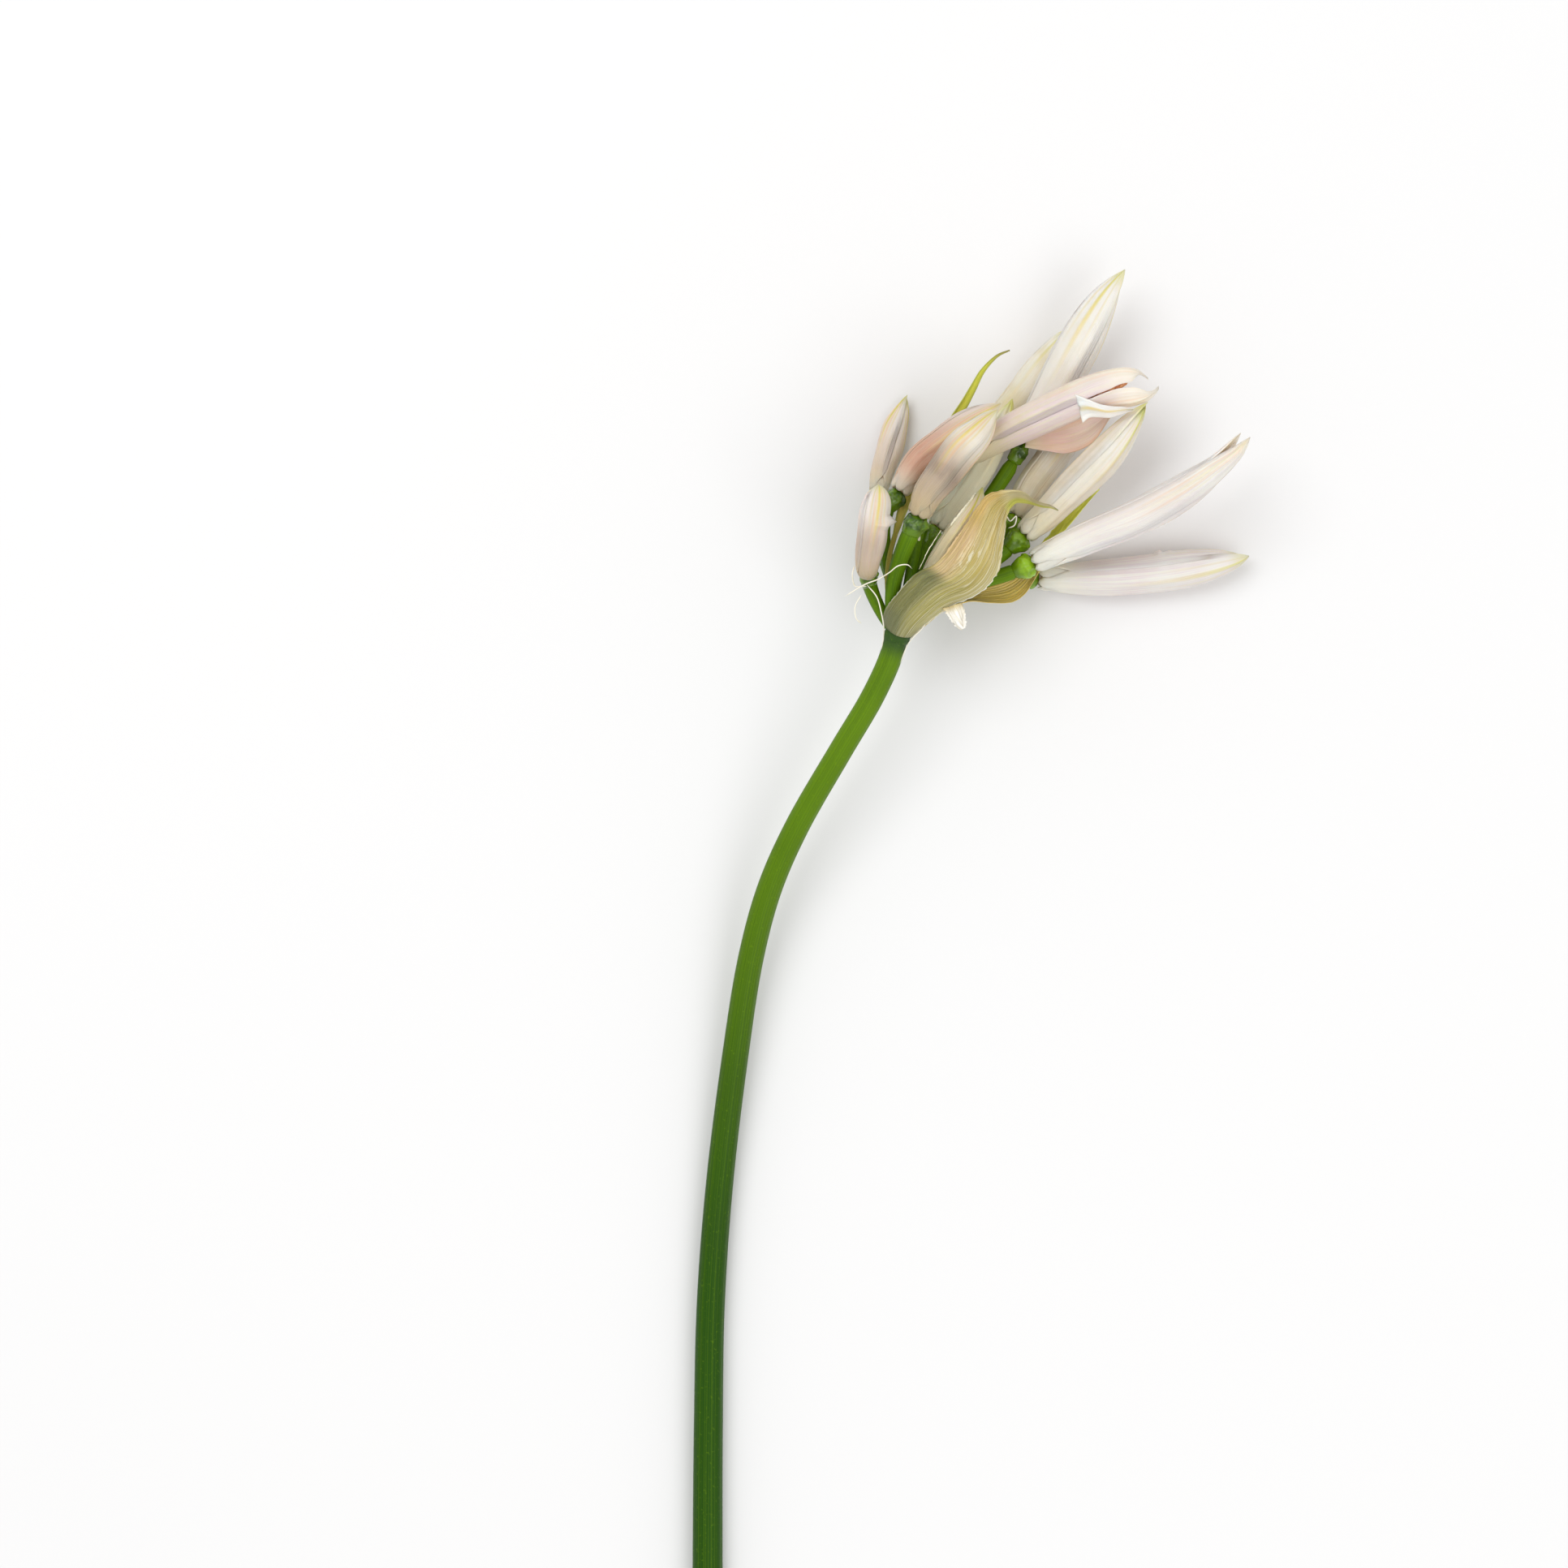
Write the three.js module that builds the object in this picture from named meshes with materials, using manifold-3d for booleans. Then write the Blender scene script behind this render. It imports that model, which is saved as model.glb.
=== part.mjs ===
// Cut nerine stem in bud, lying on a table: one leafless scape with an umbel of thirteen buds.
// Millimetres, +Z up. The scape lies along Y with the umbel at its +Y end.
// The origin is the middle of the flat underside on which the lower scape rests.
import * as THREE from "three";
import { mergeVertices } from "three/addons/utils/BufferGeometryUtils.js";
import Module from "manifold-3d";

const wasm = await Module();
wasm.setup();

// Scape
const SCAPE_RADIUS = 3.75;
const SCAPE_TOP_RADIUS = 2.85;
const TAPER_FROM = 0.3;
const SCAPE_SIDES = 12;
const SCAPE_STEPS = 34;
const REST_HEIGHT = SCAPE_RADIUS * Math.cos(Math.PI / SCAPE_SIDES);
const COLLAR_RADIUS = 3.3;
const COLLAR_RINGS = 8;

// Centreline from the cut end to the top. It is level over the resting length, then rises.
const SCAPE_TOP = [46.8, 290.4, 24];
const SCAPE_ROUTE = [
  [0, -50, REST_HEIGHT],
  [0, 0, REST_HEIGHT],
  [0, 60, REST_HEIGHT],
  [0.2, 95, REST_HEIGHT],
  [0.8, 125, REST_HEIGHT + 0.1],
  [3, 155, 4.2],
  [6.8, 186, 6.4],
  [10.8, 211, 9.4],
  [15.4, 228, 12.2],
  [22, 243, 15.4],
  [32.9, 262, 19.4],
  [40.6, 275, 21.8],
  [44.9, 284.2, 23.2],
  SCAPE_TOP,
];
const SCAPE_AXIS = new THREE.Vector3(0.3, 0.94, 0.14).normalize();

// The point that everything in the umbel is measured from
const UMBEL_BASE = new THREE.Vector3(47.8, 290, 24);

// Pedicels and ovaries
const PEDICEL_RADIUS = 1.8;
const PEDICEL_ROOT_RADIUS = 1.3;
const PEDICEL_LEAVES = 0.4;
const PEDICEL_ARRIVES = 0.3;
const PEDICEL_SIDES = 7;
const PEDICEL_STEPS = 7;
const OVARY_RADIUS = 2.6;
const OVARY_LENGTH = 5.4;
const OVARY_SIDES = 12;
const OVARY_RINGS = 7;
const OVARY_LOBE = 0.09;
const OVARY_WIDEST = 0.6;
const OVARY_SINK = 0.9;
const SEAT_GAP = 0.3;

// Buds: share of the full radius at the foot, where they are widest, and how they taper to the tip
const BUD_SIDES = 18;
const BUD_RINGS = 14;
const FOOT_SHARE = 0.66;
const WIDEST_AT = 0.56;
const TIP_POWER = 1.9;
const TAPER_POWER = 0.8;

// Relief of the folded tepals, as shares of the radius, and the share of the length over which it fades
const OVERLAP_STEP = 0.07;
const OVERLAP_SLOPE = 2.4;
const MIDRIB_RISE = 0.05;
const MIDRIB_BREADTH = 0.1;
const RELIEF_FADE = 0.15;
const FOOT_LOBE = 0.08;
const FOOT_LOBE_FADE = 0.12;

// Sheets, each with its number of steps across and along
const SHEET_THICKNESS = 0.7;
const FRONT_STEPS = [8, 18];
const REAR_STEPS = [6, 14];
const BRACTEOLE_STEPS = [2, 28];
const TEPAL_THICKNESS = 0.8;
const TEPAL_STEPS = [5, 8];

// Each bud's axis, from its foot to its tip, is measured from the umbel base.
// lead is the way its pedicel leaves the scape, and turn is where an outer tepal's edge lies, in degrees.
const BUDS = [
  {
    name: "bud_left_small",
    axis: [[-8.2, 15.8, 4.4], [-8.3, 17.4, 7], [-7.7, 22, 9.2], [-6.6, 29, 10.4], [-5.6, 37.4, 11]],
    width: 7.4,
    tipPower: 3.4,
    turn: 20,
    lead: [-0.6, 0.7, -0.25],
    ovaryRadius: 2.3,
    points: [{ axis: [[-6.6, 28.4, 10.4], [-4, 28.2, 11.2], [-2, 27.9, 11]], width: 3.6 }],
  },
  {
    name: "bud_left_rear",
    axis: [[-5.6, 35.8, -13], [-4, 43, -17.6], [-1.4, 51, -20.6], [1.8, 60.2, -21]],
    width: 6.8,
    turn: 80,
    lead: [0.1, 0.9, -0.3],
  },
  {
    name: "bud_blush_rear",
    axis: [[-0.6, 35.8, 1.5], [4.6, 43, 1.2], [10.8, 48, 2], [17.2, 52.6, 3.2], [24.6, 57.4, 4.4]],
    width: 8,
    tipPower: 2.3,
    turn: 40,
    lead: [0.1, 1, 0],
  },
  {
    name: "bud_front_middle",
    axis: [[4.2, 29.8, 8.5], [6.6, 35, 10], [9.8, 39, 11], [14.4, 45.2, 12], [19.1, 50, 12.4],
      [23.6, 55.6, 12]],
    width: 9,
    tipPower: 2.4,
    turn: 60,
    lead: [-0.3, 0.95, 0.05],
    ovaryRadius: 2.9,
  },
  {
    name: "bud_pale_middle",
    axis: [[8.6, 27, -5.5], [16, 37, -9], [21, 45, -11.5], [25, 53, -12], [27.6, 59, -11]],
    width: 8,
    turn: 0,
    lead: [0.4, 0.9, -0.1],
  },
  {
    name: "bud_inside_spathe",
    axis: [[6.8, 15.2, 1.6], [10.6, 20.8, 2.8], [15, 26.8, 3.6], [18.4, 32.2, 4.4], [20, 36.8, 4.8]],
    width: 6.2,
    turn: 40,
    lead: [0.4, 0.8, 0.2],
  },
  {
    name: "bud_top_rear",
    axis: [[18, 44.4, -19.4], [26, 55, -19.8], [33, 64, -19.7], [38, 70.6, -19.4], [42, 76.6, -18.6]],
    width: 8.2,
    tipPower: 2.8,
    turn: 60,
    lead: [0.3, 0.7, -0.7],
  },
  {
    name: "bud_top_long",
    axis: [[30.4, 48, -12.8], [38, 61.4, -11.4], [45, 74, -9.6], [51.4, 85, -8.6], [55.4, 90.8, -8]],
    width: 10.2,
    turn: 100,
    lead: [0.4, 0.8, -0.5],
    ovaryRadius: 2.2,
  },
  {
    name: "bud_opening",
    axis: [[16.6, 45, -2.4], [26.2, 50.4, -2.2], [34, 54.2, -1.6], [41.4, 57.6, -0.8], [52, 61.8, 0.2],
      [60.9, 63.2, 0]],
    width: 9.4,
    tipPower: 3.6,
    turn: 60,
    lead: [0.3, 0.9, 0.1],
    points: [{ axis: [[50, 60, -1.6], [56, 61, -1.8], [60, 61.4, -1.4], [63.4, 62, -1]], width: 4.6 }],
    tepals: [
      {
        left: [[43.4, 59.2, 3.4], [48.4, 56.8, 4], [57.4, 56.2, 3]],
        right: [[45.2, 52.8, 0.4], [50.4, 54.2, 2.2], [57.4, 55.4, 2.8]],
        crest: 0.7,
      },
      {
        left: [[31, 48.6, -2.6], [38, 51.6, -2.6], [45, 54.2, -2.2], [51, 56.4, -2.4]],
        right: [[30.6, 46.8, -3.4], [36, 46, -5.4], [41.2, 45.4, -6.6], [46.2, 47.4, -6.6], [50.6, 53, -4.4]],
        crest: -1.2,
      },
    ],
  },
  {
    name: "bud_right_rear",
    axis: [[28.4, 30.2, -14.5], [32.6, 38, -14.6], [37, 43.8, -14.6], [43, 52, -14.4], [48.4, 59, -14]],
    width: 8.4,
    turn: 20,
    lead: [0.5, 0.8, -0.4],
  },
  {
    name: "bud_right_middle",
    axis: [[30.4, 25.4, -7], [37, 31.4, -6], [43.4, 37.8, -4.4], [52.2, 46.8, -2], [60.9, 57.8, 0]],
    width: 8.8,
    turn: 80,
    lead: [0.7, 0.7, -0.15],
    ovaryRadius: 3,
  },
  {
    name: "bud_right_long",
    axis: [[32.6, 18.5, -5.8], [45.6, 24.6, -4], [59.4, 30.1, -2], [73.1, 38.2, 0.4], [81, 44.6, 1.6],
      [85, 49.8, 2]],
    width: 9.2,
    turn: 40,
    lead: [0.4, 0.9, -0.2],
    ovaryRadius: 3.1,
    points: [{ axis: [[79.6, 42.8, 2], [83.4, 46.2, 3.2], [86.2, 48.8, 3.8]], width: 2.6 }],
  },
  {
    name: "bud_right_low",
    axis: [[34, 15, -17.4], [45.6, 14.8, -18.8], [59.2, 15.6, -19.05], [72.2, 17.4, -19],
      [86.4, 20.3, -18.2]],
    width: 9.6,
    tipPower: 2.6,
    turn: 0,
    lead: [0.2, 0.3, -0.95],
  },
];

// The papery valves: two edges from the umbel base to the tip, and the rise of the crest between them.
// The front valve is highest where it arches over the pedicels, and lies flat past FRONT_FLAT.
const FRONT_CREST = 4.4;
const FRONT_TIP_CREST = 0.25;
const FRONT_FLAT = 0.82;
const FRONT_FOOT_SHARE = 0.72;
const FRONT_CREST_POWER = 0.8;
const REAR_CREST = -1.3;
const SPATHE_FRONT = {
  left: [[-4.6, 3.6, 1], [-3.6, 7.9, 3.2], [-1.2, 12, 5.1], [2.4, 15.1, 6.2], [7.2, 16.8, 7.1],
    [10.6, 20.4, 7.5], [13.4, 24.4, 7.9], [16, 28, 8.6], [18.4, 31.6, 9.3], [21, 34.8, 10], [25.4, 36, 10.4],
    [31, 34.6, 9], [38.4, 31.4, 7]],
  right: [[4.6, -0.6, 0.6], [8, 3.7, 1.7], [12.4, 7.6, 2], [17.4, 9.6, 1.8], [21.4, 12.4, 2], [24.2, 16.6, 3],
    [25, 21.6, 4.6], [25.6, 26, 6.4], [26.2, 30, 8], [28.4, 33, 8.8], [32.6, 33, 8.2], [38.6, 30.8, 6.8]],
  crest: (v) => {
    const foot = Math.min(1, FRONT_FOOT_SHARE + v / FRONT_FLAT);
    const fall = Math.pow(Math.max(0, 1 - Math.pow(v / FRONT_FLAT, 3)), FRONT_CREST_POWER);
    return FRONT_CREST * foot * fall + FRONT_TIP_CREST;
  },
};
const SPATHE_REAR = {
  left: [[2.1, -0.4, -2.3], [5.2, 2.6, -5.4], [11, 8.2, -8.2], [18, 12.4, -11.2], [24.6, 14.8, -12.2],
    [30.4, 18.2, -12.4], [35, 23.4, -12.4], [39, 28, -12.2], [43, 32.2, -12], [49, 36.8, -11.4]],
  right: [[1.9, -1.8, -1.4], [6, 1.8, -3], [11.4, 5.6, -6.4], [17.3, 8.6, -8.4], [22, 8.6, -9.6],
    [27.6, 8.7, -10.6], [30.6, 10.6, -11.2], [33.2, 14.6, -11.6], [36.8, 20.6, -12], [40.2, 26, -12],
    [43.3, 29.8, -12], [46.2, 33.2, -11.8], [49.2, 36.5, -11.5]],
  crest: (v) => REAR_CREST * Math.sin(Math.PI * v),
};

// The one broad bracteole: it climbs among the pedicels, dips behind the blush bud and curls free above it.
// Its width grows from the root's to the full width, keeps that for a while and falls to the tip's.
const BRACTEOLE = {
  middle: [[-0.6, 2, 0.4], [-2.8, 8.4, 1.4], [-3.4, 14, 2.4], [-2.8, 20, 3], [-1.2, 26, 2.4],
    [0.5, 31.6, 0], [2.5, 36, -2.8], [5.5, 41, -4.8], [9.4, 47.4, -5], [13.6, 54.2, -3.4], [16, 58.1, -2],
    [18.1, 61.9, -0.8], [19.9, 65.2, 0], [22, 67.7, 0.4], [24, 69.4, 0.6], [26.8, 70.6, 0.6]],
  rootWidth: 1,
  width: 2.1,
  tipWidth: 0.6,
  widens: [0.3, 0.5],
  narrowsFrom: 0.72,
};

const PETAL_WHITE = new THREE.MeshStandardMaterial({ color: 0xf1e4dc, roughness: 0.5, metalness: 0 });
const PETAL_BLUSH = new THREE.MeshStandardMaterial({ color: 0xeed3cb, roughness: 0.5, metalness: 0 });
const SCAPE_GREEN = new THREE.MeshStandardMaterial({ color: 0x4b7d1c, roughness: 0.4, metalness: 0 });
const SPATHE_GOLD = new THREE.MeshStandardMaterial({ color: 0xc8b97d, roughness: 0.6, metalness: 0 });

const UP = new THREE.Vector3(0, 0, 1);

// A smooth curve through points that are measured from the umbel base
function curveFromUmbel(points) {
  return smoothCurve(points.map((p) => new THREE.Vector3(...p).add(UMBEL_BASE)));
}

function smoothCurve(vectors) {
  return new THREE.CatmullRomCurve3(vectors, false, "centripetal");
}

// The point at t with an upright cross frame
function frameAt(curve, t) {
  const tangent = curve.getTangentAt(t);
  const side = new THREE.Vector3().crossVectors(tangent, UP).normalize();
  const up = new THREE.Vector3().crossVectors(side, tangent);
  return { point: curve.getPointAt(t), side, up };
}

// Moves every vertex to its station on the curve: place gives its t, angle and distance from the axis
function bendAlong(geometry, curve, place) {
  const position = geometry.attributes.position;
  const vertex = new THREE.Vector3();
  for (let i = 0; i < position.count; i += 1) {
    vertex.fromBufferAttribute(position, i);
    const { t, angle, radius } = place(vertex);
    const { point, side, up } = frameAt(curve, t);
    point.addScaledVector(side, radius * Math.cos(angle)).addScaledVector(up, radius * Math.sin(angle));
    position.setXYZ(i, point.x, point.y, point.z);
  }
  return geometry;
}

// A closed body with a pole at each end of the curve
function pointedBody(curve, sides, rings, radiusAt) {
  return bendAlong(new THREE.SphereGeometry(1, sides, rings), curve, (vertex) => {
    const t = THREE.MathUtils.clamp((1 + vertex.y) / 2, 0, 1);
    const angle = Math.atan2(vertex.z, vertex.x);
    const atPole = Math.hypot(vertex.x, vertex.z) < 1e-6;
    return { t, angle, radius: atPole ? 0 : radiusAt(t, angle) };
  });
}

// A closed tube with flat ends and a flat side underneath
function tube(curve, sides, steps, radiusAt) {
  const blank = new THREE.CylinderGeometry(1, 1, 1, sides, steps, false, Math.PI / sides);
  return bendAlong(blank, curve, (vertex) => {
    const t = THREE.MathUtils.clamp(vertex.y + 0.5, 0, 1);
    const angle = Math.atan2(vertex.z, vertex.x);
    return { t, angle, radius: Math.hypot(vertex.x, vertex.z) * radiusAt(t) };
  });
}

// A sheet whose face is placed by surfaceAt(u, v), u from -1 to 1 across and v from 0 to 1 along
function sheet(surfaceAt, [across, along], thickness) {
  const face = new THREE.PlaneGeometry(1, 1, across, along);
  const position = face.attributes.position;
  for (let i = 0; i < position.count; i += 1) {
    const v = THREE.MathUtils.clamp(position.getY(i) + 0.5, 0, 1);
    const point = surfaceAt(position.getX(i) * 2, v);
    position.setXYZ(i, point.x, point.y, point.z);
  }
  face.computeVertexNormals();
  return thicken(face, across, along, thickness);
}

// A surface between two edge curves, arched by its crest
function archedSurface({ left, right, crest }) {
  const leftEdge = curveFromUmbel(left);
  const rightEdge = curveFromUmbel(right);
  return (u, v) => {
    const point = leftEdge.getPointAt(v).lerp(rightEdge.getPointAt(v), (u + 1) / 2);
    return point.addScaledVector(UP, crest(v) * (1 - u * u));
  };
}

// A narrow leaf along a middle line
function leafSurface({ middle, rootWidth, width, tipWidth, widens, narrowsFrom }) {
  const line = curveFromUmbel(middle);
  return (u, v) => {
    const grown = THREE.MathUtils.lerp(rootWidth, width, THREE.MathUtils.smoothstep(v, ...widens));
    const narrowed = Math.max(0, (v - narrowsFrom) / (1 - narrowsFrom));
    const { point, side } = frameAt(line, v);
    return point.addScaledVector(side, (u * THREE.MathUtils.lerp(grown, tipWidth, narrowed)) / 2);
  };
}

// Gives a grid of faces a thickness and a closed rim
function thicken(face, across, along, thickness) {
  const position = face.attributes.position;
  const normal = face.attributes.normal;
  const count = position.count;
  const places = [];
  for (const offset of [thickness / 2, -thickness / 2]) {
    for (let i = 0; i < count; i += 1) {
      const point = new THREE.Vector3().fromBufferAttribute(position, i);
      point.addScaledVector(new THREE.Vector3().fromBufferAttribute(normal, i), offset);
      places.push(point.x, point.y, point.z);
    }
  }
  const front = Array.from(face.index.array);
  const triangles = [...front];
  for (let i = 0; i < front.length; i += 3) {
    triangles.push(front[i] + count, front[i + 2] + count, front[i + 1] + count);
  }
  const rim = rimOf(across, along);
  rim.forEach((from, k) => {
    const to = rim[(k + 1) % rim.length];
    triangles.push(to, from, from + count);
    triangles.push(to, from + count, to + count);
  });
  const geometry = new THREE.BufferGeometry();
  geometry.setAttribute("position", new THREE.Float32BufferAttribute(places, 3));
  geometry.setIndex(triangles);
  return geometry;
}

// The grid's outline, counter-clockwise from its lower left corner
function rimOf(across, along) {
  const at = (column, row) => row * (across + 1) + column;
  const rim = [];
  for (let column = 0; column < across; column += 1) rim.push(at(column, along));
  for (let row = along; row > 0; row -= 1) rim.push(at(across, row));
  for (let column = across; column > 0; column -= 1) rim.push(at(column, 0));
  for (let row = 0; row < along; row += 1) rim.push(at(0, row));
  return rim;
}

// Between three.js geometry and solids that can be joined
function toSolid(geometry) {
  geometry.deleteAttribute("normal");
  geometry.deleteAttribute("uv");
  const merged = mergeVertices(geometry, 1e-4);
  const vertProperties = new Float32Array(merged.attributes.position.array);
  const triVerts = new Uint32Array(merged.index.array);
  return new wasm.Manifold(new wasm.Mesh({ numProp: 3, vertProperties, triVerts }));
}

function toGeometry(solid) {
  const { vertProperties, triVerts } = solid.getMesh();
  const geometry = new THREE.BufferGeometry();
  geometry.setAttribute("position", new THREE.BufferAttribute(vertProperties, 3));
  geometry.setIndex(new THREE.BufferAttribute(triVerts, 1));
  geometry.computeVertexNormals();
  return geometry;
}

function joined(geometries) {
  return geometries.map(toSolid).reduce((whole, piece) => whole.add(piece));
}

// Buds: six tepals folded round each other, the outer three with their right edges on top
function budRadius({ width, turn, tipPower = TIP_POWER }, t, angle) {
  const third = (2 * Math.PI) / 3;
  const swell = FOOT_SHARE + (1 - FOOT_SHARE) * Math.sin((Math.PI / 2) * Math.min(t / WIDEST_AT, 1));
  const beyond = Math.max(0, (t - WIDEST_AT) / (1 - WIDEST_AT));
  const taper = Math.pow(1 - Math.pow(beyond, tipPower), TAPER_POWER);
  const share = (((angle - THREE.MathUtils.degToRad(turn)) / third + 1e-4) % 1 + 1) % 1;
  const fade = Math.min(1, t / RELIEF_FADE);
  const overlap = OVERLAP_STEP * (1 - OVERLAP_SLOPE * share) * fade;
  const midrib = MIDRIB_RISE * Math.exp(-Math.pow((share - 0.5) / MIDRIB_BREADTH, 2)) * fade;
  const footLobes = FOOT_LOBE * Math.cos(6 * angle) * Math.max(0, 1 - t / FOOT_LOBE_FADE);
  return (width / 2) * swell * taper * (1 + overlap + midrib + footLobes);
}

// A small extra point, where a tepal's tip or fold stands away from the bud
function tepalPoint({ axis, width }) {
  return pointedBody(curveFromUmbel(axis), 8, 6, (t) => (width / 2) * Math.sqrt(1 - t) * Math.min(1, 6 * t));
}

// A tepal that has come free of the bud
function freeTepal({ left, right, crest }) {
  const surface = archedSurface({ left, right, crest: (v) => crest * Math.sin(Math.PI * v) });
  return sheet(surface, TEPAL_STEPS, TEPAL_THICKNESS);
}

function budBody(bud) {
  const radiusAt = (t, angle) => budRadius(bud, t, angle);
  const closed = pointedBody(curveFromUmbel(bud.axis), BUD_SIDES, BUD_RINGS, radiusAt);
  return joined([closed, ...(bud.points ?? []).map(tepalPoint), ...(bud.tepals ?? []).map(freeTepal)]);
}

// The foot of a bud, and the way it points
function footOf(bud) {
  const curve = curveFromUmbel(bud.axis);
  return { point: curve.getPointAt(0), direction: curve.getTangentAt(0) };
}

// The bumpy green ovary just under a bud, pear-shaped and broadest towards it
function ovary(bud) {
  const { point, direction } = footOf(bud);
  const top = point.clone().addScaledVector(direction, -SEAT_GAP);
  const base = top.clone().addScaledVector(direction, -OVARY_LENGTH);
  return pointedBody(new THREE.LineCurve3(base, top), OVARY_SIDES, OVARY_RINGS, (t, angle) => {
    const apart = (t - OVARY_WIDEST) / (t < OVARY_WIDEST ? OVARY_WIDEST : 1 - OVARY_WIDEST);
    const oval = Math.sqrt(Math.max(0, 1 - apart * apart));
    return (bud.ovaryRadius ?? OVARY_RADIUS) * oval * (1 + OVARY_LOBE * Math.cos(3 * angle));
  });
}

// The stalk from the top of the scape into the ovary
function pedicel(bud) {
  const { point, direction } = footOf(bud);
  const end = point.clone().addScaledVector(direction, OVARY_SINK - SEAT_GAP - OVARY_LENGTH);
  const start = new THREE.Vector3(...SCAPE_TOP);
  const reach = end.distanceTo(start);
  const lead = new THREE.Vector3(...bud.lead).normalize();
  const leave = start.clone().addScaledVector(lead, reach * PEDICEL_LEAVES);
  const arrive = end.clone().addScaledVector(direction, -reach * PEDICEL_ARRIVES);
  const route = new THREE.CubicBezierCurve3(start, leave, arrive, end);
  const radiusAt = (t) => THREE.MathUtils.lerp(PEDICEL_ROOT_RADIUS, PEDICEL_RADIUS, t);
  return tube(route, PEDICEL_SIDES, PEDICEL_STEPS, radiusAt);
}

// The leafless stalk, its collar, and the pedicels and ovaries that grow out of it
function scape() {
  const route = smoothCurve(SCAPE_ROUTE.map((p) => new THREE.Vector3(...p)));
  const radiusAt = (t) => {
    const share = Math.max(0, (t - TAPER_FROM) / (1 - TAPER_FROM));
    return THREE.MathUtils.lerp(SCAPE_RADIUS, SCAPE_TOP_RADIUS, share);
  };
  const top = new THREE.Vector3(...SCAPE_TOP);
  const collarRoute = new THREE.LineCurve3(
    top.clone().addScaledVector(SCAPE_AXIS, -COLLAR_RADIUS),
    top.clone().addScaledVector(SCAPE_AXIS, COLLAR_RADIUS),
  );
  const round = (t) => COLLAR_RADIUS * Math.sqrt(Math.max(0, 1 - Math.pow(2 * t - 1, 2)));
  const pieces = [
    tube(route, SCAPE_SIDES, SCAPE_STEPS, radiusAt),
    pointedBody(collarRoute, SCAPE_SIDES, COLLAR_RINGS, round),
    ...BUDS.map(pedicel),
    ...BUDS.map(ovary),
    sheet(leafSurface(BRACTEOLE), BRACTEOLE_STEPS, SHEET_THICKNESS),
  ];
  return joined(pieces);
}

function valve(spathe, steps) {
  return toSolid(sheet(archedSurface(spathe), steps, SHEET_THICKNESS));
}

const nerine = new THREE.Group();

function addPiece(name, solid, material) {
  const mesh = new THREE.Mesh(toGeometry(solid), material);
  mesh.name = name;
  nerine.add(mesh);
}

addPiece("scape", scape(), SCAPE_GREEN);
for (const bud of BUDS) {
  const blush = bud.name.includes("blush") || bud.name.includes("opening");
  addPiece(bud.name, budBody(bud), blush ? PETAL_BLUSH : PETAL_WHITE);
}
addPiece("spathe_front", valve(SPATHE_FRONT, FRONT_STEPS), SPATHE_GOLD);
addPiece("spathe_rear", valve(SPATHE_REAR, REAR_STEPS), SPATHE_GOLD);

export default nerine;
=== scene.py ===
"""Looks of one cut nerine stem in bud, lying on a pale table and seen from above.

Lists of places are in millimetres. Those of the umbel are measured from its base, the top of the scape.
"""

import math

import bmesh
import bpy
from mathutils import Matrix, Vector, noise


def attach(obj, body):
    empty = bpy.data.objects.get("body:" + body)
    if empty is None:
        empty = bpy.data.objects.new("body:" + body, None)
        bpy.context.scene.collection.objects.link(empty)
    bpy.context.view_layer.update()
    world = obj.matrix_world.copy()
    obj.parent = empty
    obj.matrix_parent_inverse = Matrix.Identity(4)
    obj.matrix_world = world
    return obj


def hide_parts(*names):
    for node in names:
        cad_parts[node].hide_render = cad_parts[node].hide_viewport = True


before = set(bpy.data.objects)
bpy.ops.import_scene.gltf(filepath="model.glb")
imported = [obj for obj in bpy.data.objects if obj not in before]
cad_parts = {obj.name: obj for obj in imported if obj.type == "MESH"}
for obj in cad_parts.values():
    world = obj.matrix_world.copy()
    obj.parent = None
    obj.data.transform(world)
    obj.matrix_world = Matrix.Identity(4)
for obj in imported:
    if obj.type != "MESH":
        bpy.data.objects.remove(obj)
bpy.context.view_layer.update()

bl_info = {
    "name": "Cut nerine stem",
    "version": (1, 0, 0),
    "blender": (4, 5, 0),
    "location": "View3D > Sidebar > Nerine",
    "description": "Dresses a cut nerine stem in bud: scape, buds, papery spathe, threads and a studio",
    "category": "Object",
}

MM = 0.001
UP = Vector((0, 0, 1))

# Faces round or across each kind of surface, and along it
GRIDS = {
    "scape": (48, 320), "collar": (40, 20), "pedicel": (20, 26), "ovary": (40, 26), "anther": (14, 18),
    "thread": (8, 60), "tepal": (24, 60), "free tepal": (24, 40), "front valve": (120, 150),
    "rear valve": (90, 120), "flap": (24, 28), "skin": (8, 90), "strip": (10, 120),
}
# How close together the points of a seam or a pole lie that are merged, in metres, and how thick a sheet's
# wall may be for its shortest edges
MERGE_DISTANCE = 1e-7
WALL_CLAMP = 0.6

# Scape centreline from the cut end to the umbel base, level where it rests
REST_HEIGHT = 3.62
SCAPE_TOP = (46.8, 290.4, 24)
SCAPE_ROUTE = (
    (0, -50, REST_HEIGHT), (0, 0, REST_HEIGHT), (0, 60, REST_HEIGHT), (0.2, 95, REST_HEIGHT),
    (0.8, 125, REST_HEIGHT + 0.1), (3, 155, 4.2), (6.8, 186, 6.4), (10.8, 211, 9.4), (15.4, 228, 12.2),
    (22, 243, 15.4), (32.9, 262, 19.4), (40.6, 275, 21.8), (44.9, 284.2, 23.2), SCAPE_TOP,
)
SCAPE_AXIS = Vector((0.3, 0.94, 0.14)).normalized()
TAPER_FROM = 0.3
# Share of the scape's grid that closes its cut end, and where along it the pale flesh meets the green rim
CUT_SHARE = 0.0012
CUT_RIM = (0.003, 0.0027)
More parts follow.
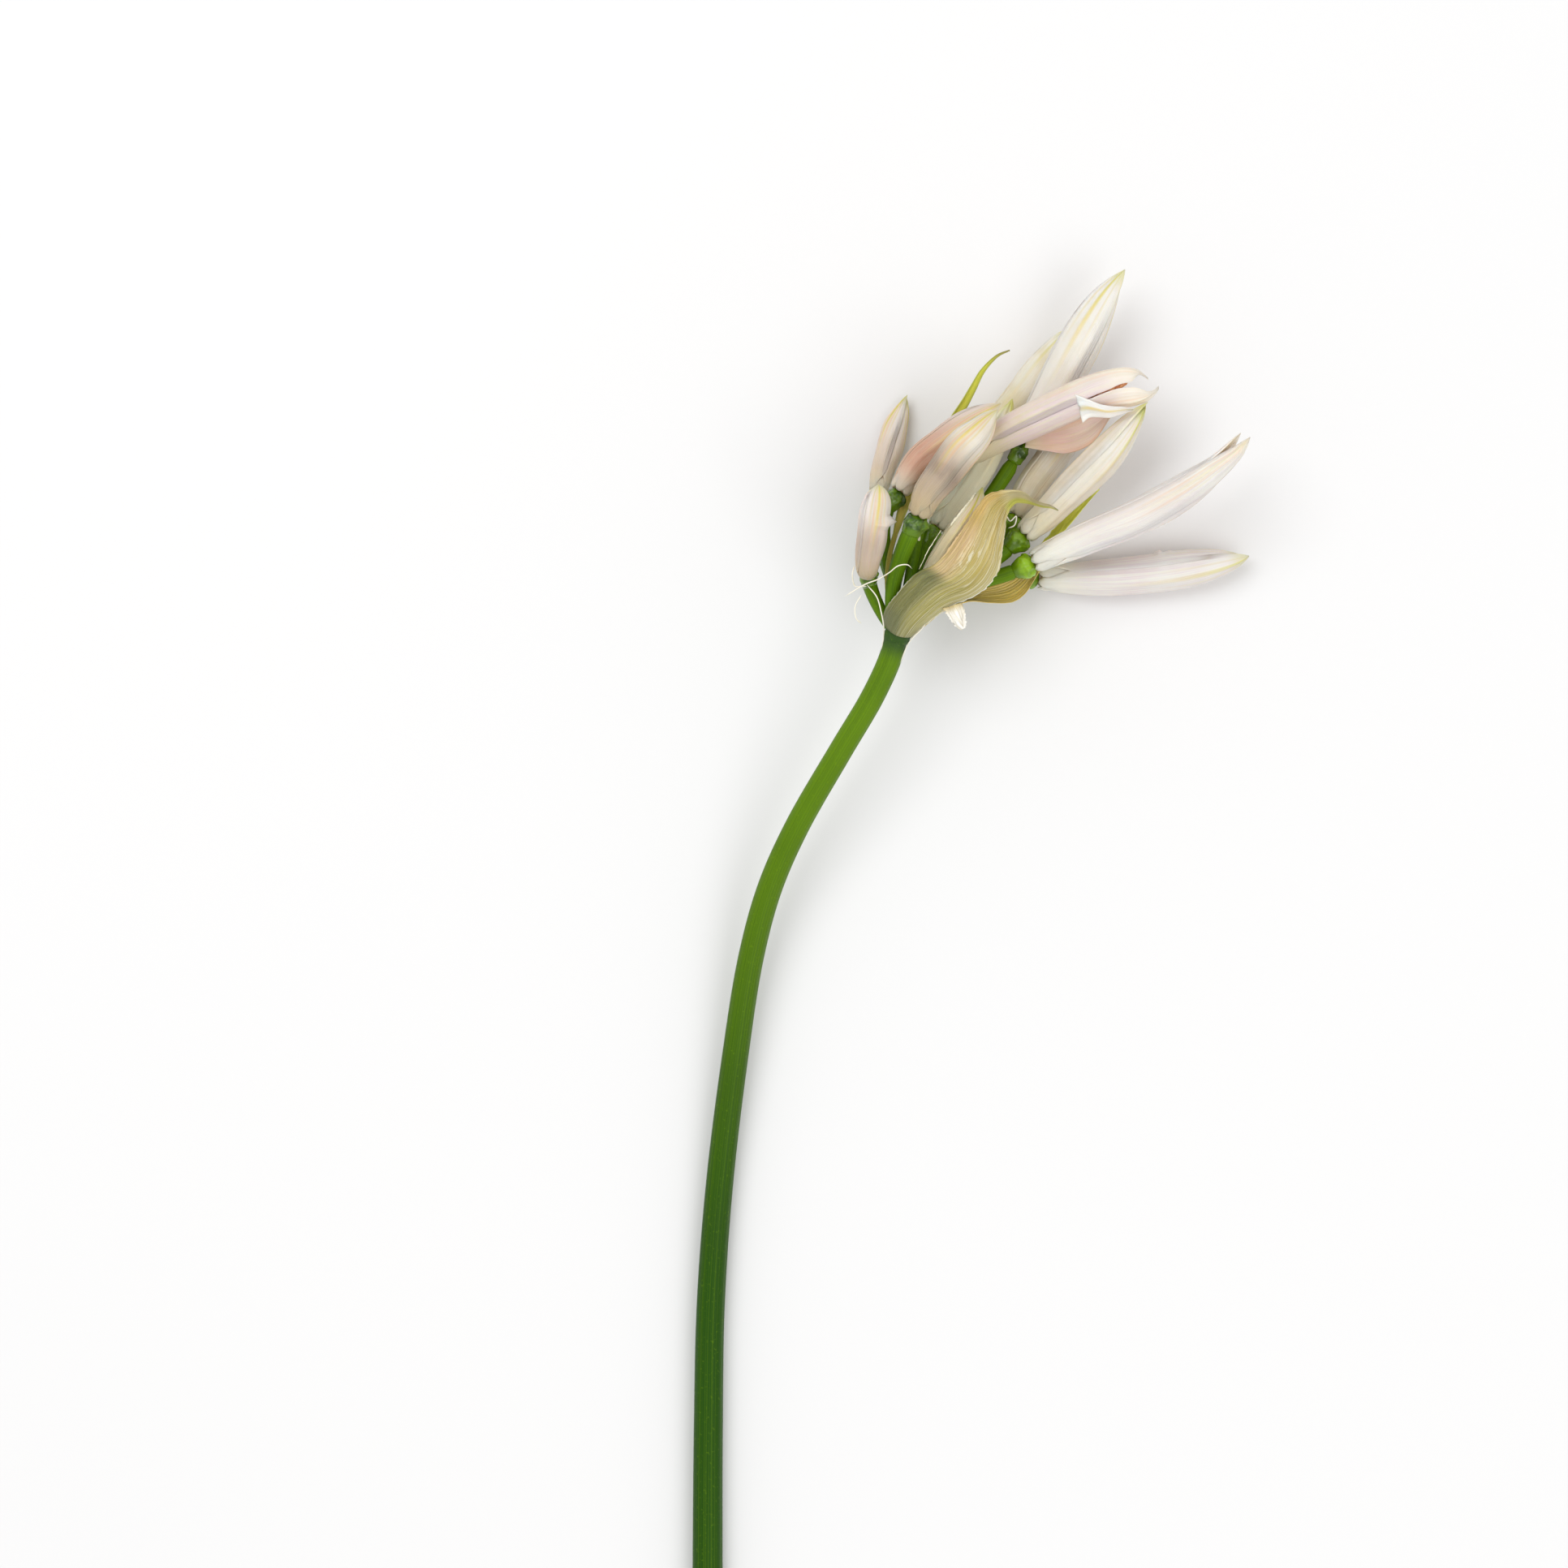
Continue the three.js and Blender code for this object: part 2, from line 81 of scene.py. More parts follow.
# Low ridges along the scape: height as a share of its radius, how many, and how far they are turned
SCAPE_RIDGES = ((0.012, 5, 0.7), (0.008, 9, 0))

# Ovaries: length, how deep the pedicel goes in, how far they go into the bud, and the gap to the bud's solid
OVARY_LENGTH = 5.4
OVARY_SINK = 2.4
OVARY_TOP = 0.5
SEAT_GAP = 0.3
# How light an ovary whose bud doesn't say is painted (low is painted shade), and how high its knobs stand
OVARY_PAINTED_LIGHT = 0.4
KNOB_HEIGHT = 0.55
# An ovary's neck as a share of its pedicel's radius
NECK_SHARE = 0.985
# How far a pedicel keeps its way where it leaves the scape and where it meets its ovary, as shares
LEAVE_SHARE = 0.4
ARRIVE_SHARE = 0.3

# The point that everything in the umbel is measured from
UMBEL_BASE = (47.8, 290, 24)

# Closed buds: share of the full radius at the foot, how far its rim is drawn in, where they are widest, and
# how they taper
FOOT_SHARE = 0.66
FOOT_PINCH = 0.18
WIDEST_AT = 0.56
TIP_POWER = 1.9
TAPER_POWER = 0.8

# Tepals: half the angle that an outer one, an inner one and the foot of either covers, in degrees
OUTER_HALF = 70
INNER_HALF = 50
FOOT_HALF = 31
# By which share of the length each of the six tepals is shorter
TIP_LAGS = (0.0, 0.022, 0.034, 0.05, 0.06, 0.055)
# How far the corners of its foot are drawn up, and where along the tepal that ends
SCALLOP = 0.02
SCALLOP_END = 0.08
# How deep the inner tepals lie, the radius under which steps and waves fade, and the least radius
INNER_DEPTH = 0.6
SLIM_RADIUS = 1.6
TIP_RADIUS = 0.12
# Waves of the free tepals
WAVE_HEIGHT = 0.5

# Buds. axis runs from foot to tip, width is the bud's width, turn the angle that its first inner tepal faces,
# from 0 sideways to 90 up, and lead the way that its pedicel leaves the scape. ovary is the ovary's radius,
# ovary_painted_light how light the ovary is painted, its low values painted shade, and stalk how many times
# as thick
# as others the pedicel is. overlap and crease say how strong steps and waves are. folds are pinched crests:
# where, how long and wide, and how high. lags says by which share each tepal is shorter, pointed how far tips
# narrow, and splay how far they stand off. look says how strong each tint is: blush pink, salmon, gold and
# peach ribs, lime tips and edges, cream all over, partly painted shade, pale green, brown for golden painted
# shade in the creases, dusk where a shadow shows through, white, shade on the lower half, a peach rim and a
# pale_tip. rib_width and rib_from say how broad the ribs are and where along the tepal they begin.
BUDS = (
    {
        "name": "bud_left_small", "slot": "petal_white", "width": 7.4, "tip_power": 5, "turn": 20,
        "lead": (-0.6, 0.7, -0.25), "ovary": 2.3, "ovary_painted_light": 0.15,
        "axis": ((-8.2, 15.8, 4.4), (-8.3, 17.4, 7), (-7.7, 22, 9.2), (-6.6, 29, 10.4), (-5.6, 37.4, 11)),
        "folds": (((0.645, 0), (0.055, 34), 2.1), ((0.6, 46), (0.05, 34), 0.8)),
        "look": {"blush": 0.5, "gold": 0.85, "peach": 0.6, "lime": 0.3, "cream": 0.9, "dusk": 0.5,
                 "shade": 1.0, "rib_width": 0.15},
    },
    {
        "name": "bud_left_rear", "slot": "petal_white", "width": 6.8, "turn": 80, "lead": (0.1, 0.9, -0.3),
        "overlap": 0.4,
        "axis": ((-5.6, 35.8, -13), (-4, 43, -17.6), (-1.4, 51, -20.6), (1.8, 60.2, -21)),
        "look": {"blush": 0.3, "salmon": 0.25, "gold": 0.9, "peach": 0.6, "lime": 0.6, "cream": 0.7,
                 "shade": 0.4},
    },
    {
        "name": "bud_blush_rear", "slot": "petal_blush", "width": 8, "tip_power": 2.3, "turn": 40,
        "lead": (0.1, 1, 0), "ovary_painted_light": 0.0,
        "axis": ((-0.6, 35.8, 1.5), (4.6, 43, 1.2), (10.8, 48, 2), (17.2, 52.6, 3.2), (24.6, 57.4, 4.4)),
        "look": {"blush": 0.3, "salmon": 1.0, "gold": 0.8, "peach": 0.8, "lime": 0.2, "cream": 0.3,
                 "shade": 0.3},
    },
    {
        "name": "bud_front_middle", "slot": "petal_white", "width": 9, "tip_power": 2.4, "turn": 60,
        "lead": (-0.3, 0.95, 0.05), "ovary": 2.9, "ovary_painted_light": 0.0, "stalk": 1.2,
        "axis": ((4.2, 29.8, 8.5), (6.6, 35, 10), (9.8, 39, 11), (14.4, 45.2, 12), (19.1, 50, 12.4),
                 (23.6, 55.6, 12)),
        "look": {"blush": 0.3, "gold": 0.9, "peach": 0.7, "lime": 0.3, "cream": 1.1, "dusk": 1.1,
                 "shade": 1.0},
    },
    {
        "name": "bud_pale_middle", "slot": "petal_white", "width": 8, "turn": 0, "lead": (0.4, 0.9, -0.1),
        "axis": ((8.6, 27, -5.5), (16, 37, -9), (21, 45, -11.5), (25, 53, -12), (27.6, 59, -11)),
        "look": {"gold": 0.3, "lime": 0.9, "cream": 0.1, "pale": 1.0},
    },
    {
        "name": "bud_inside_spathe", "slot": "petal_white", "width": 6.2, "turn": 40, "lead": (0.4, 0.8, 0.2),
        "axis": ((6.8, 15.2, 1.6), (10.6, 20.8, 2.8), (15, 26.8, 3.6), (18.4, 32.2, 4.4), (20, 36.8, 4.8)),
        "look": {"gold": 1.0, "peach": 0.5, "lime": 0.8, "cream": 1.8, "shade": 0.3},
    },
    {
        "name": "bud_top_rear", "slot": "petal_white", "width": 8.2, "tip_power": 2.8, "turn": 60,
        "lead": (0.3, 0.7, -0.7),
        "axis": ((18, 44.4, -19.4), (26, 55, -19.8), (33, 64, -19.7), (38, 70.6, -19.4), (42, 76.6, -18.6)),
        "look": {"blush": 0.1, "gold": 0.3, "lime": 0.5, "cream": 1.3, "pale": 0.2},
    },
    {
        "name": "bud_top_long", "slot": "petal_white", "width": 10.2, "turn": 52, "lead": (0.4, 0.8, -0.5),
        "ovary": 2.1, "ovary_painted_light": 0.0, "overlap": 0.5,
        "axis": ((30.4, 48, -12.8), (38, 61.4, -11.4), (45, 74, -9.6), (51.4, 85, -8.6), (55.4, 90.8, -8)),
        "look": {"blush": 0.25, "gold": 0.7, "lime": 0.5, "cream": 0.5},
    },
    {
        "name": "bud_right_rear", "slot": "petal_white", "width": 8.4, "turn": 20, "lead": (0.5, 0.8, -0.4),
        "axis": ((28.4, 30.2, -14.5), (32.6, 38, -14.6), (37, 43.8, -14.6), (43, 52, -14.4), (48.4, 59, -14)),
        "look": {"gold": 0.8, "cream": 1.0, "peach": 0.5, "crease_shade": 0.8, "blush": 0.1},
    },
    {
        "name": "bud_right_middle", "slot": "petal_white", "width": 8.8, "turn": 110,
        "lead": (0.7, 0.7, -0.15), "ovary": 3, "overlap": 0.7,
        "axis": ((30.4, 25.4, -7), (37, 31.4, -6), (43.4, 37.8, -4.4), (52.2, 46.8, -2), (60.9, 57.8, 0)),
        "look": {"blush": 0.2, "gold": 0.5, "lime": 0.8, "cream": 1.0, "peach": 0.2},
    },
    {
        "name": "bud_right_long", "slot": "petal_white", "width": 9.2, "turn": 40, "lead": (0.4, 0.9, -0.2),
        "ovary": 3.1, "ovary_painted_light": 1.0,
        "axis": ((32.6, 18.5, -5.8), (45.6, 24.6, -4), (59.4, 30.1, -2), (73.1, 38.2, 0.4), (81, 44.6, 1.6),
                 (85, 49.8, 2)),
        "splay": {0: (0.9, -0.7, 1.2), 1: (-0.5, 1.5, -0.2), 2: (1.2, -1.2, 0.6), 4: (-0.4, 1.0, 0.2)},
        "look": {"blush": 0.5, "gold": 0.3, "peach": 0.5, "lime": 0.1, "cream": 0.15},
    },
    {
        "name": "bud_right_low", "slot": "petal_white", "width": 9.6, "tip_power": 2.6, "turn": 0,
        "lead": (0.2, 0.3, -0.95),
        "axis": ((34, 15, -17.4), (45.6, 14.8, -18.8), (59.2, 15.6, -19.05), (72.2, 17.4, -19),
                 (86.4, 20.3, -18.2)),
        "folds": (((0.58, 172), (0.02, 20), 1.0), ((0.63, 170), (0.015, 16), 0.6)),
        "look": {"blush": 0.7, "gold": 0.4, "lime": 0.4, "cream": 0.1},
    },
)

# The opening bud: its hood (tepal 0) and lip (tepal 2) part from each other along a slit. gape says from
# which share of the length to which, and by how many degrees, the tepal's near and far edges draw back. sag
# says at which share, how widely, how far and on which side a tepal bulges out.
OPENING_BUD = {
    "name": "bud_opening", "slot": "petal_blush", "width": 9.4, "tip_power": 3.6, "turn": 88, "overlap": 0.3,
    "lead": (0.3, 0.9, 0.1),
    "axis": ((16.6, 45, -2.4), (26.2, 50.4, -2.2), (34, 54.2, -1.6), (41.4, 57.6, -0.8), (52, 61.8, 0.2),
             (60.9, 63.2, 0)),
    "lags": (0.0, 0.14, 0.0, 0.32, 0.16, 0.16), "pointed": 0.9, "crease": 0.25,
    "gape": {0: ((0.62, 0.72, 2, 0), (0.78, 0.88, 10, 0), (0.91, 0.98, 30, 0)),
             2: ((0.6, 0.7, 0, 23), (0.8, 0.88, 0, -3), (0.91, 0.98, 0, 8))},
    "splay": {2: (2.6, -1.2, -0.4)},
    "sag": {0: (0.93, 0.08, (0, 1.1, 0), -1), 2: (0.89, 0.11, (0.3, -2.6, 0), 1)},
    "look": {"blush": 0.9, "gold": 0.1, "peach": 0.3, "cream": 1.5, "shade": 0.1, "pale_tip": 0.75},
}

# Its corner turned back, white with a yellow rib, and the tepal that hangs free
OPENING_CORNER = {
    "name": "bud_opening_corner",
    "left": ((42.8, 59.5, 4.6), (46.2, 58.3, 4.9), (49.5, 57.1, 4.6), (52.2, 56.7, 4.1), (54.7, 56.6, 3.7),
             (57.2, 56, 3.2)),
    "right": ((44.7, 52.6, 1.6), (46.4, 53.9, 2.2), (48.4, 54, 2.6), (51.4, 53.9, 2.9), (54, 54.7, 3),
              (57.3, 55.7, 3)),
    "crest": 0.9, "look": {"gold": 0.75, "lime": 0.1, "white": 1.0, "rib_from": -0.3, "rib_width": 0.34},
}
OPENING_HANGING = {
    "name": "bud_opening_hanging",
    "left": ((31, 48.6, -2.6), (38, 51.6, -2.6), (45, 54.2, -2.2), (52, 56.8, -2.6)),
    "right": ((30.6, 46.8, -3.4), (36, 46, -5.4), (41.2, 45.4, -6.6), (46.8, 47.6, -6.6), (51.8, 54.2, -4.4)),
    "crest": -1.2,
    "look": {"blush": 0.9, "salmon": 0.45, "crease_shade": 0.5, "cream": 0.5, "shade": 0.6, "rim": 0.4},
}
# The orange in the slit: an anther's colour, darkened as painted shade deep in the bud
OPENING_ANTHER_IN_SHADE = {
    "axis": ((45, 57.6, 2.4), (49, 59.6, 3.1), (52.6, 61.4, 2.8), (56, 62.8, 1.6)),
    "radius": 1, "flatness": 0.6,
}

# The papery valves and the torn end: two edges of each, from the umbel base to the tip
SPATHE_FRONT = {
    "left": ((-4.6, 3.6, 1), (-4, 6.6, 3), (-1.9, 9.6, 4.8), (1, 13, 6), (4.2, 16, 6.7), (7.8, 17.6, 7.1),
             (10.6, 20.4, 7.5), (13.4, 24.4, 7.9), (16, 28, 8.6), (18.4, 31.6, 9.3), (21, 34.8, 10),
             (25.4, 36, 10.4), (30, 35.6, 9.4), (32.2, 34, 8.8), (34.7, 32.9, 8.2), (36.7, 32.4, 7.6),
             (38.6, 31.2, 7)),
    "right": ((2.8, 0, 1), (5.5, 2.6, 1.5), (8.6, 4.9, 1.8), (12.4, 7.6, 2), (17.4, 9.6, 1.8),
              (21.4, 12.4, 2), (24.2, 16.6, 3), (25, 21.6, 4.6), (25.6, 26, 6.4), (26.2, 30, 8),
              (28, 32.6, 8.8), (31, 32.6, 8.6), (34.7, 31.7, 8), (36.7, 31.5, 7.4), (38.6, 30.9, 6.8)),
}
SPATHE_REAR = {
    "left": ((2.1, -0.4, -2.3), (5.2, 2.6, -5.4), (11, 8.2, -8.2), (18, 12.4, -11.2), (24.6, 14.8, -12.2),
             (30.4, 18.2, -12.4), (35, 23.4, -12.2), (39, 28, -11.2), (43, 32.2, -10.2), (49, 36.8, -9.6)),
    "right": ((1.9, -0.8, -1.4), (6, 3, -3.2), (11.4, 7, -6.4), (17.3, 9, -8.4), (22, 8.6, -9.6),
              (27.6, 8.7, -10.6), (30.6, 10.6, -11.2), (33.2, 14.6, -11.6), (36.8, 20.6, -11.9),
              (40.2, 26, -11.2), (43.3, 29.8, -10.2), (46.2, 33.2, -9.8), (49.2, 36.5, -9.7)),
}
SPATHE_FLAP = {
    "left": ((10.2, 7, 3), (11.8, 4.6, 3.4), (13.4, 2.6, 3.2), (15, 1.8, 3)),
    "right": ((15, 8.4, 3.2), (15.8, 6, 3.6), (16, 4, 3.4), (15.8, 2.2, 3.2)),
}
# Where along the front valve its arch ends, how high the rear one arches, how deep the foot dips over the
# collar, and how near the edge the fraying keeps
FRONT_FLAT = 0.82
REAR_CREST = 1.3
COLLAR_DIP = 1.5
FRAY_POWER = 12

# White crinkled skins: one along the bud that the front valve holds, and flakes between the pedicels.
# Each is a middle line, a width, and the height of its crinkles.
SKINS = (
    {"middle": ((11.8, 26.8, 5.4), (13.4, 29, 5.8), (15.2, 31.2, 6), (16.8, 33.2, 6), (18.3, 35.4, 5.8)),
     "width": 0.55, "crinkle": 0.25},
    {"middle": ((3.8, 27.2, 5.6), (4.2, 25.6, 5.8), (4.4, 23.6, 5.4)), "width": 1.1, "crinkle": 0.15},
    {"middle": ((9.8, 26.2, 4.8), (8.4, 24, 5.4), (6.4, 20.8, 5.6), (5.4, 18.6, 5.6), (4.4, 16.6, 5.4)),
     "width": 0.18, "crinkle": 0.1},
)

# The long bracteole: it climbs among the pedicels, dips behind the blush bud and curls free above it.
# widths gives its width at shares of its length, and cup how far its edges rise, as a share of half of it.
BRACTEOLE = {
    "middle": ((-0.6, 2, 0.4), (-2.8, 8.4, 1.4), (-3.4, 14, 2.4), (-2.8, 20, 3), (-1.2, 26, 2.4),
               (0.5, 31.6, 0), (2.5, 36, -2.8), (5.5, 41, -4.8), (9.4, 47.4, -5), (13.6, 54.2, -3.4),
               (16, 58.1, -2), (18.1, 61.9, -0.8), (19.9, 65.2, 0),
               (22, 67.7, 0.4), (24, 69.4, 0.6), (26.8, 70.6, 0.6)),
    "widths": ((0, 0.9), (0.3, 1), (0.42, 2.6), (0.5, 3.4), (0.6, 2.2), (0.72, 2.1), (1, 0.3)),
    "cup": 0.5,
}

# Hair-fine bracteoles, curled among the pedicels, and dry fringes of the valve along the scape
THREADS = (
    ((2.7, 16.6, 8.8), (1.6, 17.6, 9), (-0.7, 17.4, 9.2), (-3, 15.7, 9), (-5.7, 14.1, 8.6), (-9, 12.8, 8),
     (-14, 9.8, 8)),
    ((-11.5, 17.6, 6), (-12, 15, 6.8), (-11.3, 12.4, 7), (-9.6, 12.4, 7.2), (-8.4, 12.4, 7)),
    ((-8.7, 13.1, 6), (-6, 9.8, 5), (-4.9, 6.1, 4), (-4.3, 2.8, 3), (-4.2, 0.8, 1.2), (-4.5, -1.6, 0.4),
     (-4.8, -3.7, 0.3), (-5.5, -6.5, 0.4)),
    ((-9.7, 10.4, 6.6), (-11.3, 7.4, 7.4), (-11, 4.4, 7.4), (-9.7, 3.2, 6.8)),
    ((6.7, 4.4, 1.2), (5.2, 2.1, 1.6), (3.3, 0.2, 1.6), (1.8, -1.7, 1), (0.1, -5.5, 0), (-2.4, -11, -1),
     (-4.2, -14.4, -1.6)),
    ((26, 30, -3), (27, 28.6, -1), (28.4, 29.8, -1.4), (28, 27.6, -1.6), (26.4, 26.8, -2)),
)

# Where the two lights hang, in metres from the aim, and how far the camera sees
KEY_OFFSET = (-0.7, 0.8, 1.7)
FILL_OFFSET = (0.9, -0.6, 1.6)
CAMERA_REACH = 20.0


def length_property(name, description, default):
    """A length, in metres, that the panel shows."""
    return bpy.props.FloatProperty(name=name, description=description, default=default, unit="LENGTH")


def colour_property(name, description, default):
    """A colour that the panel shows."""
    return bpy.props.FloatVectorProperty(
        name=name, description=description, default=default, subtype="COLOR")


class NerineScapeSettings(bpy.types.PropertyGroup):
    """Sizes and colours of the scape, its pedicels and ovaries."""

    radius: length_property("Radius", "Radius of the lower scape", 0.00375)
    top_radius: length_property("Top radius", "Radius just under the umbel", 0.00285)
    collar_radius: length_property("Collar radius", "Radius of the swelling that carries the umbel", 0.0033)
    pedicel_radius: length_property("Pedicel radius", "Radius of a pedicel under its ovary", 0.00195)
    pedicel_root_radius: length_property("Pedicel root radius", "Radius of a pedicel at its root", 0.0013)
    ovary_radius: length_property("Ovary radius", "Radius of an ovary whose bud states none", 0.0026)
    green: colour_property("Green", "The scape's own green", (0.014, 0.062, 0.001))
    young_green: colour_property("Young green", "Yellower green near the umbel", (0.1, 0.2, 0.003))
    # Painted shade of the collar under the valve's foot
    collar_shade_green: colour_property("Collar green", "Dull green of the collar", (0.035, 0.08, 0.015))
    # Also the painted shade of an ovary that ovary_painted_light leaves dark
    deep_green: colour_property("Deep green", "Dark green of streaks and hollows", (0.02, 0.06, 0.004))
    bright_green: colour_property("Bright green", "Fresh green of the ovaries", (0.24, 0.43, 0.005))
    # Painted highlight on the crests of the ovaries' knobs
    knob_highlight_green: colour_property("Knob green", "Lighter green on an ovary's knobs", (0.3, 0.5, 0.03))
    rim_green: colour_property("Rim green", "Lime where an ovary meets its bud", (0.42, 0.52, 0.08))
    cut_face: colour_property("Cut face", "Pale flesh of the cut end", (0.5, 0.58, 0.25))


class NerineBudSettings(bpy.types.PropertyGroup):
    """Sizes and colours of the buds."""

    thickness: length_property("Thickness", "Thickness of a tepal", 0.00035)
    overlap: length_property("Overlap", "Step where one tepal laps over the next", 0.00018)
    keel: bpy.props.FloatProperty(
        name="Keel", description="Rise of the midrib, as a share of the bud's radius", default=0.05)
    crease: length_property("Crease", "Height of the soft waves along a bud", 0.0005)
    body: colour_property("Body", "Warm white of a tepal", (0.95, 0.865, 0.8))
    white: colour_property("White", "Bright white of a tepal's inner face", (0.97, 0.94, 0.88))
    foot: colour_property("Foot", "Cream at a bud's foot", (0.96, 0.87, 0.73))
    cream: colour_property("Cream", "Beige of the shaded tepals", (0.72, 0.58, 0.36))
    pale: colour_property("Pale green", "Greenish cream of the youngest bud", (0.98, 0.84, 0.53))
    blush: colour_property("Blush", "Pink of the tepals", (0.76, 0.55, 0.57))
    salmon: colour_property("Salmon", "Salmon of the darkest bud", (0.55, 0.25, 0.16))
    # Painted shade in the creases between tepals
    crease_shade: colour_property("Brown", "Golden brown of the deep creases", (0.5, 0.3, 0.12))
    gold: colour_property("Gold", "Yellow of the midribs", (0.76, 0.52, 0.1))
    peach: colour_property("Peach", "Orange of the midribs", (0.82, 0.42, 0.18))
    lime: colour_property("Lime", "Yellow-green of tips and edges", (0.6, 0.6, 0.06))
    shade: colour_property("Shade", "Darker beige of a bud's lower half", (0.46, 0.34, 0.2))
    dusk: colour_property("Dusk", "Lilac grey where a shadow shows through", (0.3, 0.225, 0.17))
    # Painted shade deep in the opening bud, over an anther's orange
    inside: colour_property("Inside", "Dark orange deep in the opening bud", (0.5, 0.14, 0.05))


class NerineSpatheSettings(bpy.types.PropertyGroup):
    """Sizes and colours of the spathe and the long bracteole."""

    thickness: length_property("Thickness", "Thickness of the papery valves", 0.0003)
    crest: length_property("Crest", "How far the front valve arches over the pedicels", 0.0044)
    crumple: length_property("Crumple", "Height of the crumples", 0.0009)
    vein: length_property("Vein", "Height of the parallel veins", 0.00012)
    gold: colour_property("Gold", "Beige gold of the dry valve", (0.53, 0.4, 0.105))
    peach: colour_property("Peach", "Orange gold over the bud inside", (0.72, 0.47, 0.17))
    through: colour_property("Through", "Pinkish gold where the bud shows through", (0.66, 0.47, 0.27))
    olive: colour_property("Olive", "Green of edges, tip and bracteole", (0.28, 0.27, 0.05))
    fresh: colour_property("Fresh", "Yellow green of the tips", (0.6, 0.6, 0.06))
    sage: colour_property("Sage", "Grey green of the wet foot", (0.145, 0.158, 0.064))
    # Also the painted highlight on the front valve's crumples
    paper: colour_property("Paper", "White of dry crumples", (0.84, 0.8, 0.62))
    fringe: colour_property("Fringe", "White of the frayed edges", (0.86, 0.84, 0.7))
    curl: colour_property("Curl", "Pale gold of the curled tip", (0.8, 0.7, 0.38))
    rear_gold: colour_property("Rear gold", "Brighter gold of the rear valve", (0.88, 0.63, 0.12))
    rear_brown: colour_property("Rear brown", "Brown between the rear valve's ribs", (0.5, 0.34, 0.08))
    rear_edge: colour_property("Rear edge", "Brown of the rear valve's lower edge", (0.6, 0.4, 0.14))
    rear_tip: colour_property("Rear tip", "Fresh green of the rear valve's tip", (0.93, 0.97, 0.14))
    flap: colour_property("Flap", "White of the torn flap", (0.92, 0.9, 0.84))
    flap_shade: colour_property("Flap shade", "Beige between the flap's ribs", (0.66, 0.58, 0.4))
    strip: colour_property("Strip", "Golden olive of the long bracteole", (0.6, 0.5, 0.1))
    strip_edge: colour_property("Strip edge", "Darker green of its edges", (0.3, 0.33, 0.05))
    strip_tip: colour_property("Strip tip", "Brown of its tip", (0.25, 0.2, 0.1))
    fleck: colour_property("Fleck", "Darker flecks on the white skins", (0.42, 0.38, 0.2))


class NerineThreadSettings(bpy.types.PropertyGroup):
    """Size and colours of the hair-fine bracteoles."""

    radius: length_property("Radius", "Radius of a thread", 0.00016)
    colour: colour_property("Colour", "Dry white of a thread", (0.8, 0.77, 0.66))
    fleck: colour_property("Fleck", "Darker flecks on a thread", (0.42, 0.38, 0.2))


class NerineStageSettings(bpy.types.PropertyGroup):
    """Floor, lights and camera."""

    floor_size: length_property("Floor size", "Side of the floor", 6.0)
    floor_colour: colour_property("Floor", "Colour of the floor", (0.755, 0.762, 0.775))
    sky_colour: colour_property("Sky colour", "Colour of the light from all around", (1.0, 0.98, 0.95))
    sky: bpy.props.FloatProperty(
        name="Sky", description="Strength of the light from all around", default=0.8)
    key: bpy.props.FloatProperty(
        name="Key light", description="Power of the light at the upper left", default=17.0, unit="POWER")
    fill: bpy.props.FloatProperty(
        name="Fill light", description="Power of the light at the lower right", default=10.5, unit="POWER")
    light_size: length_property("Light size", "Width of each of the two lights", 1.4)
    lens: bpy.props.FloatProperty(
        name="Lens", description="Focal length of the camera", default=300.0, unit="CAMERA")
    aim: bpy.props.FloatVectorProperty(
        name="Aim", description="What the middle of the picture shows", subtype="TRANSLATION",
        default=(0.019, 0.2538, 0.022))
    view_width: length_property("View width", "Width that the picture covers at the aim", 0.3864)


# Sockets of a Mix node that mixes colours: the factor, the colour under, the colour over, and the result
MIX_FACTOR, MIX_UNDER, MIX_OVER, MIX_RESULT = 0, 6, 7, 2

# How each kind of surface takes light: constants of its shader
SHEENS = {
    "skin": {"Specular IOR Level": 0.1, "Subsurface Weight": 0.1, "Subsurface Scale": 0.0012,
             "Subsurface Radius": (0.6, 1.0, 0.2)},
    "ovary": {"Specular IOR Level": 0.3, "Coat Weight": 0.35, "Coat Roughness": 0.06,
              "Subsurface Weight": 0.2, "Subsurface Scale": 0.001, "Subsurface Radius": (0.5, 1.0, 0.2)},
    "petal": {"Subsurface Weight": 0.5, "Subsurface Scale": 0.0022, "Subsurface Radius": (1.0, 0.66, 0.5)},
    "paper": {"Specular IOR Level": 0.35, "Subsurface Weight": 0.25, "Subsurface Scale": 0.001,
              "Subsurface Radius": (1.0, 0.75, 0.4)},
    "strip": {"Subsurface Weight": 0.2, "Subsurface Scale": 0.001, "Subsurface Radius": (0.8, 1.0, 0.3)},
    "plain": {},
}

# Where along a tepal its ribs begin to show, how long they take, and how far they reach to either side
RIB_FROM = 0.25
RIB_FADE = 0.55
RIB_WIDTH = 0.16

# How much darker the floor's mottling is
FLOOR_MOTTLE = 0.985


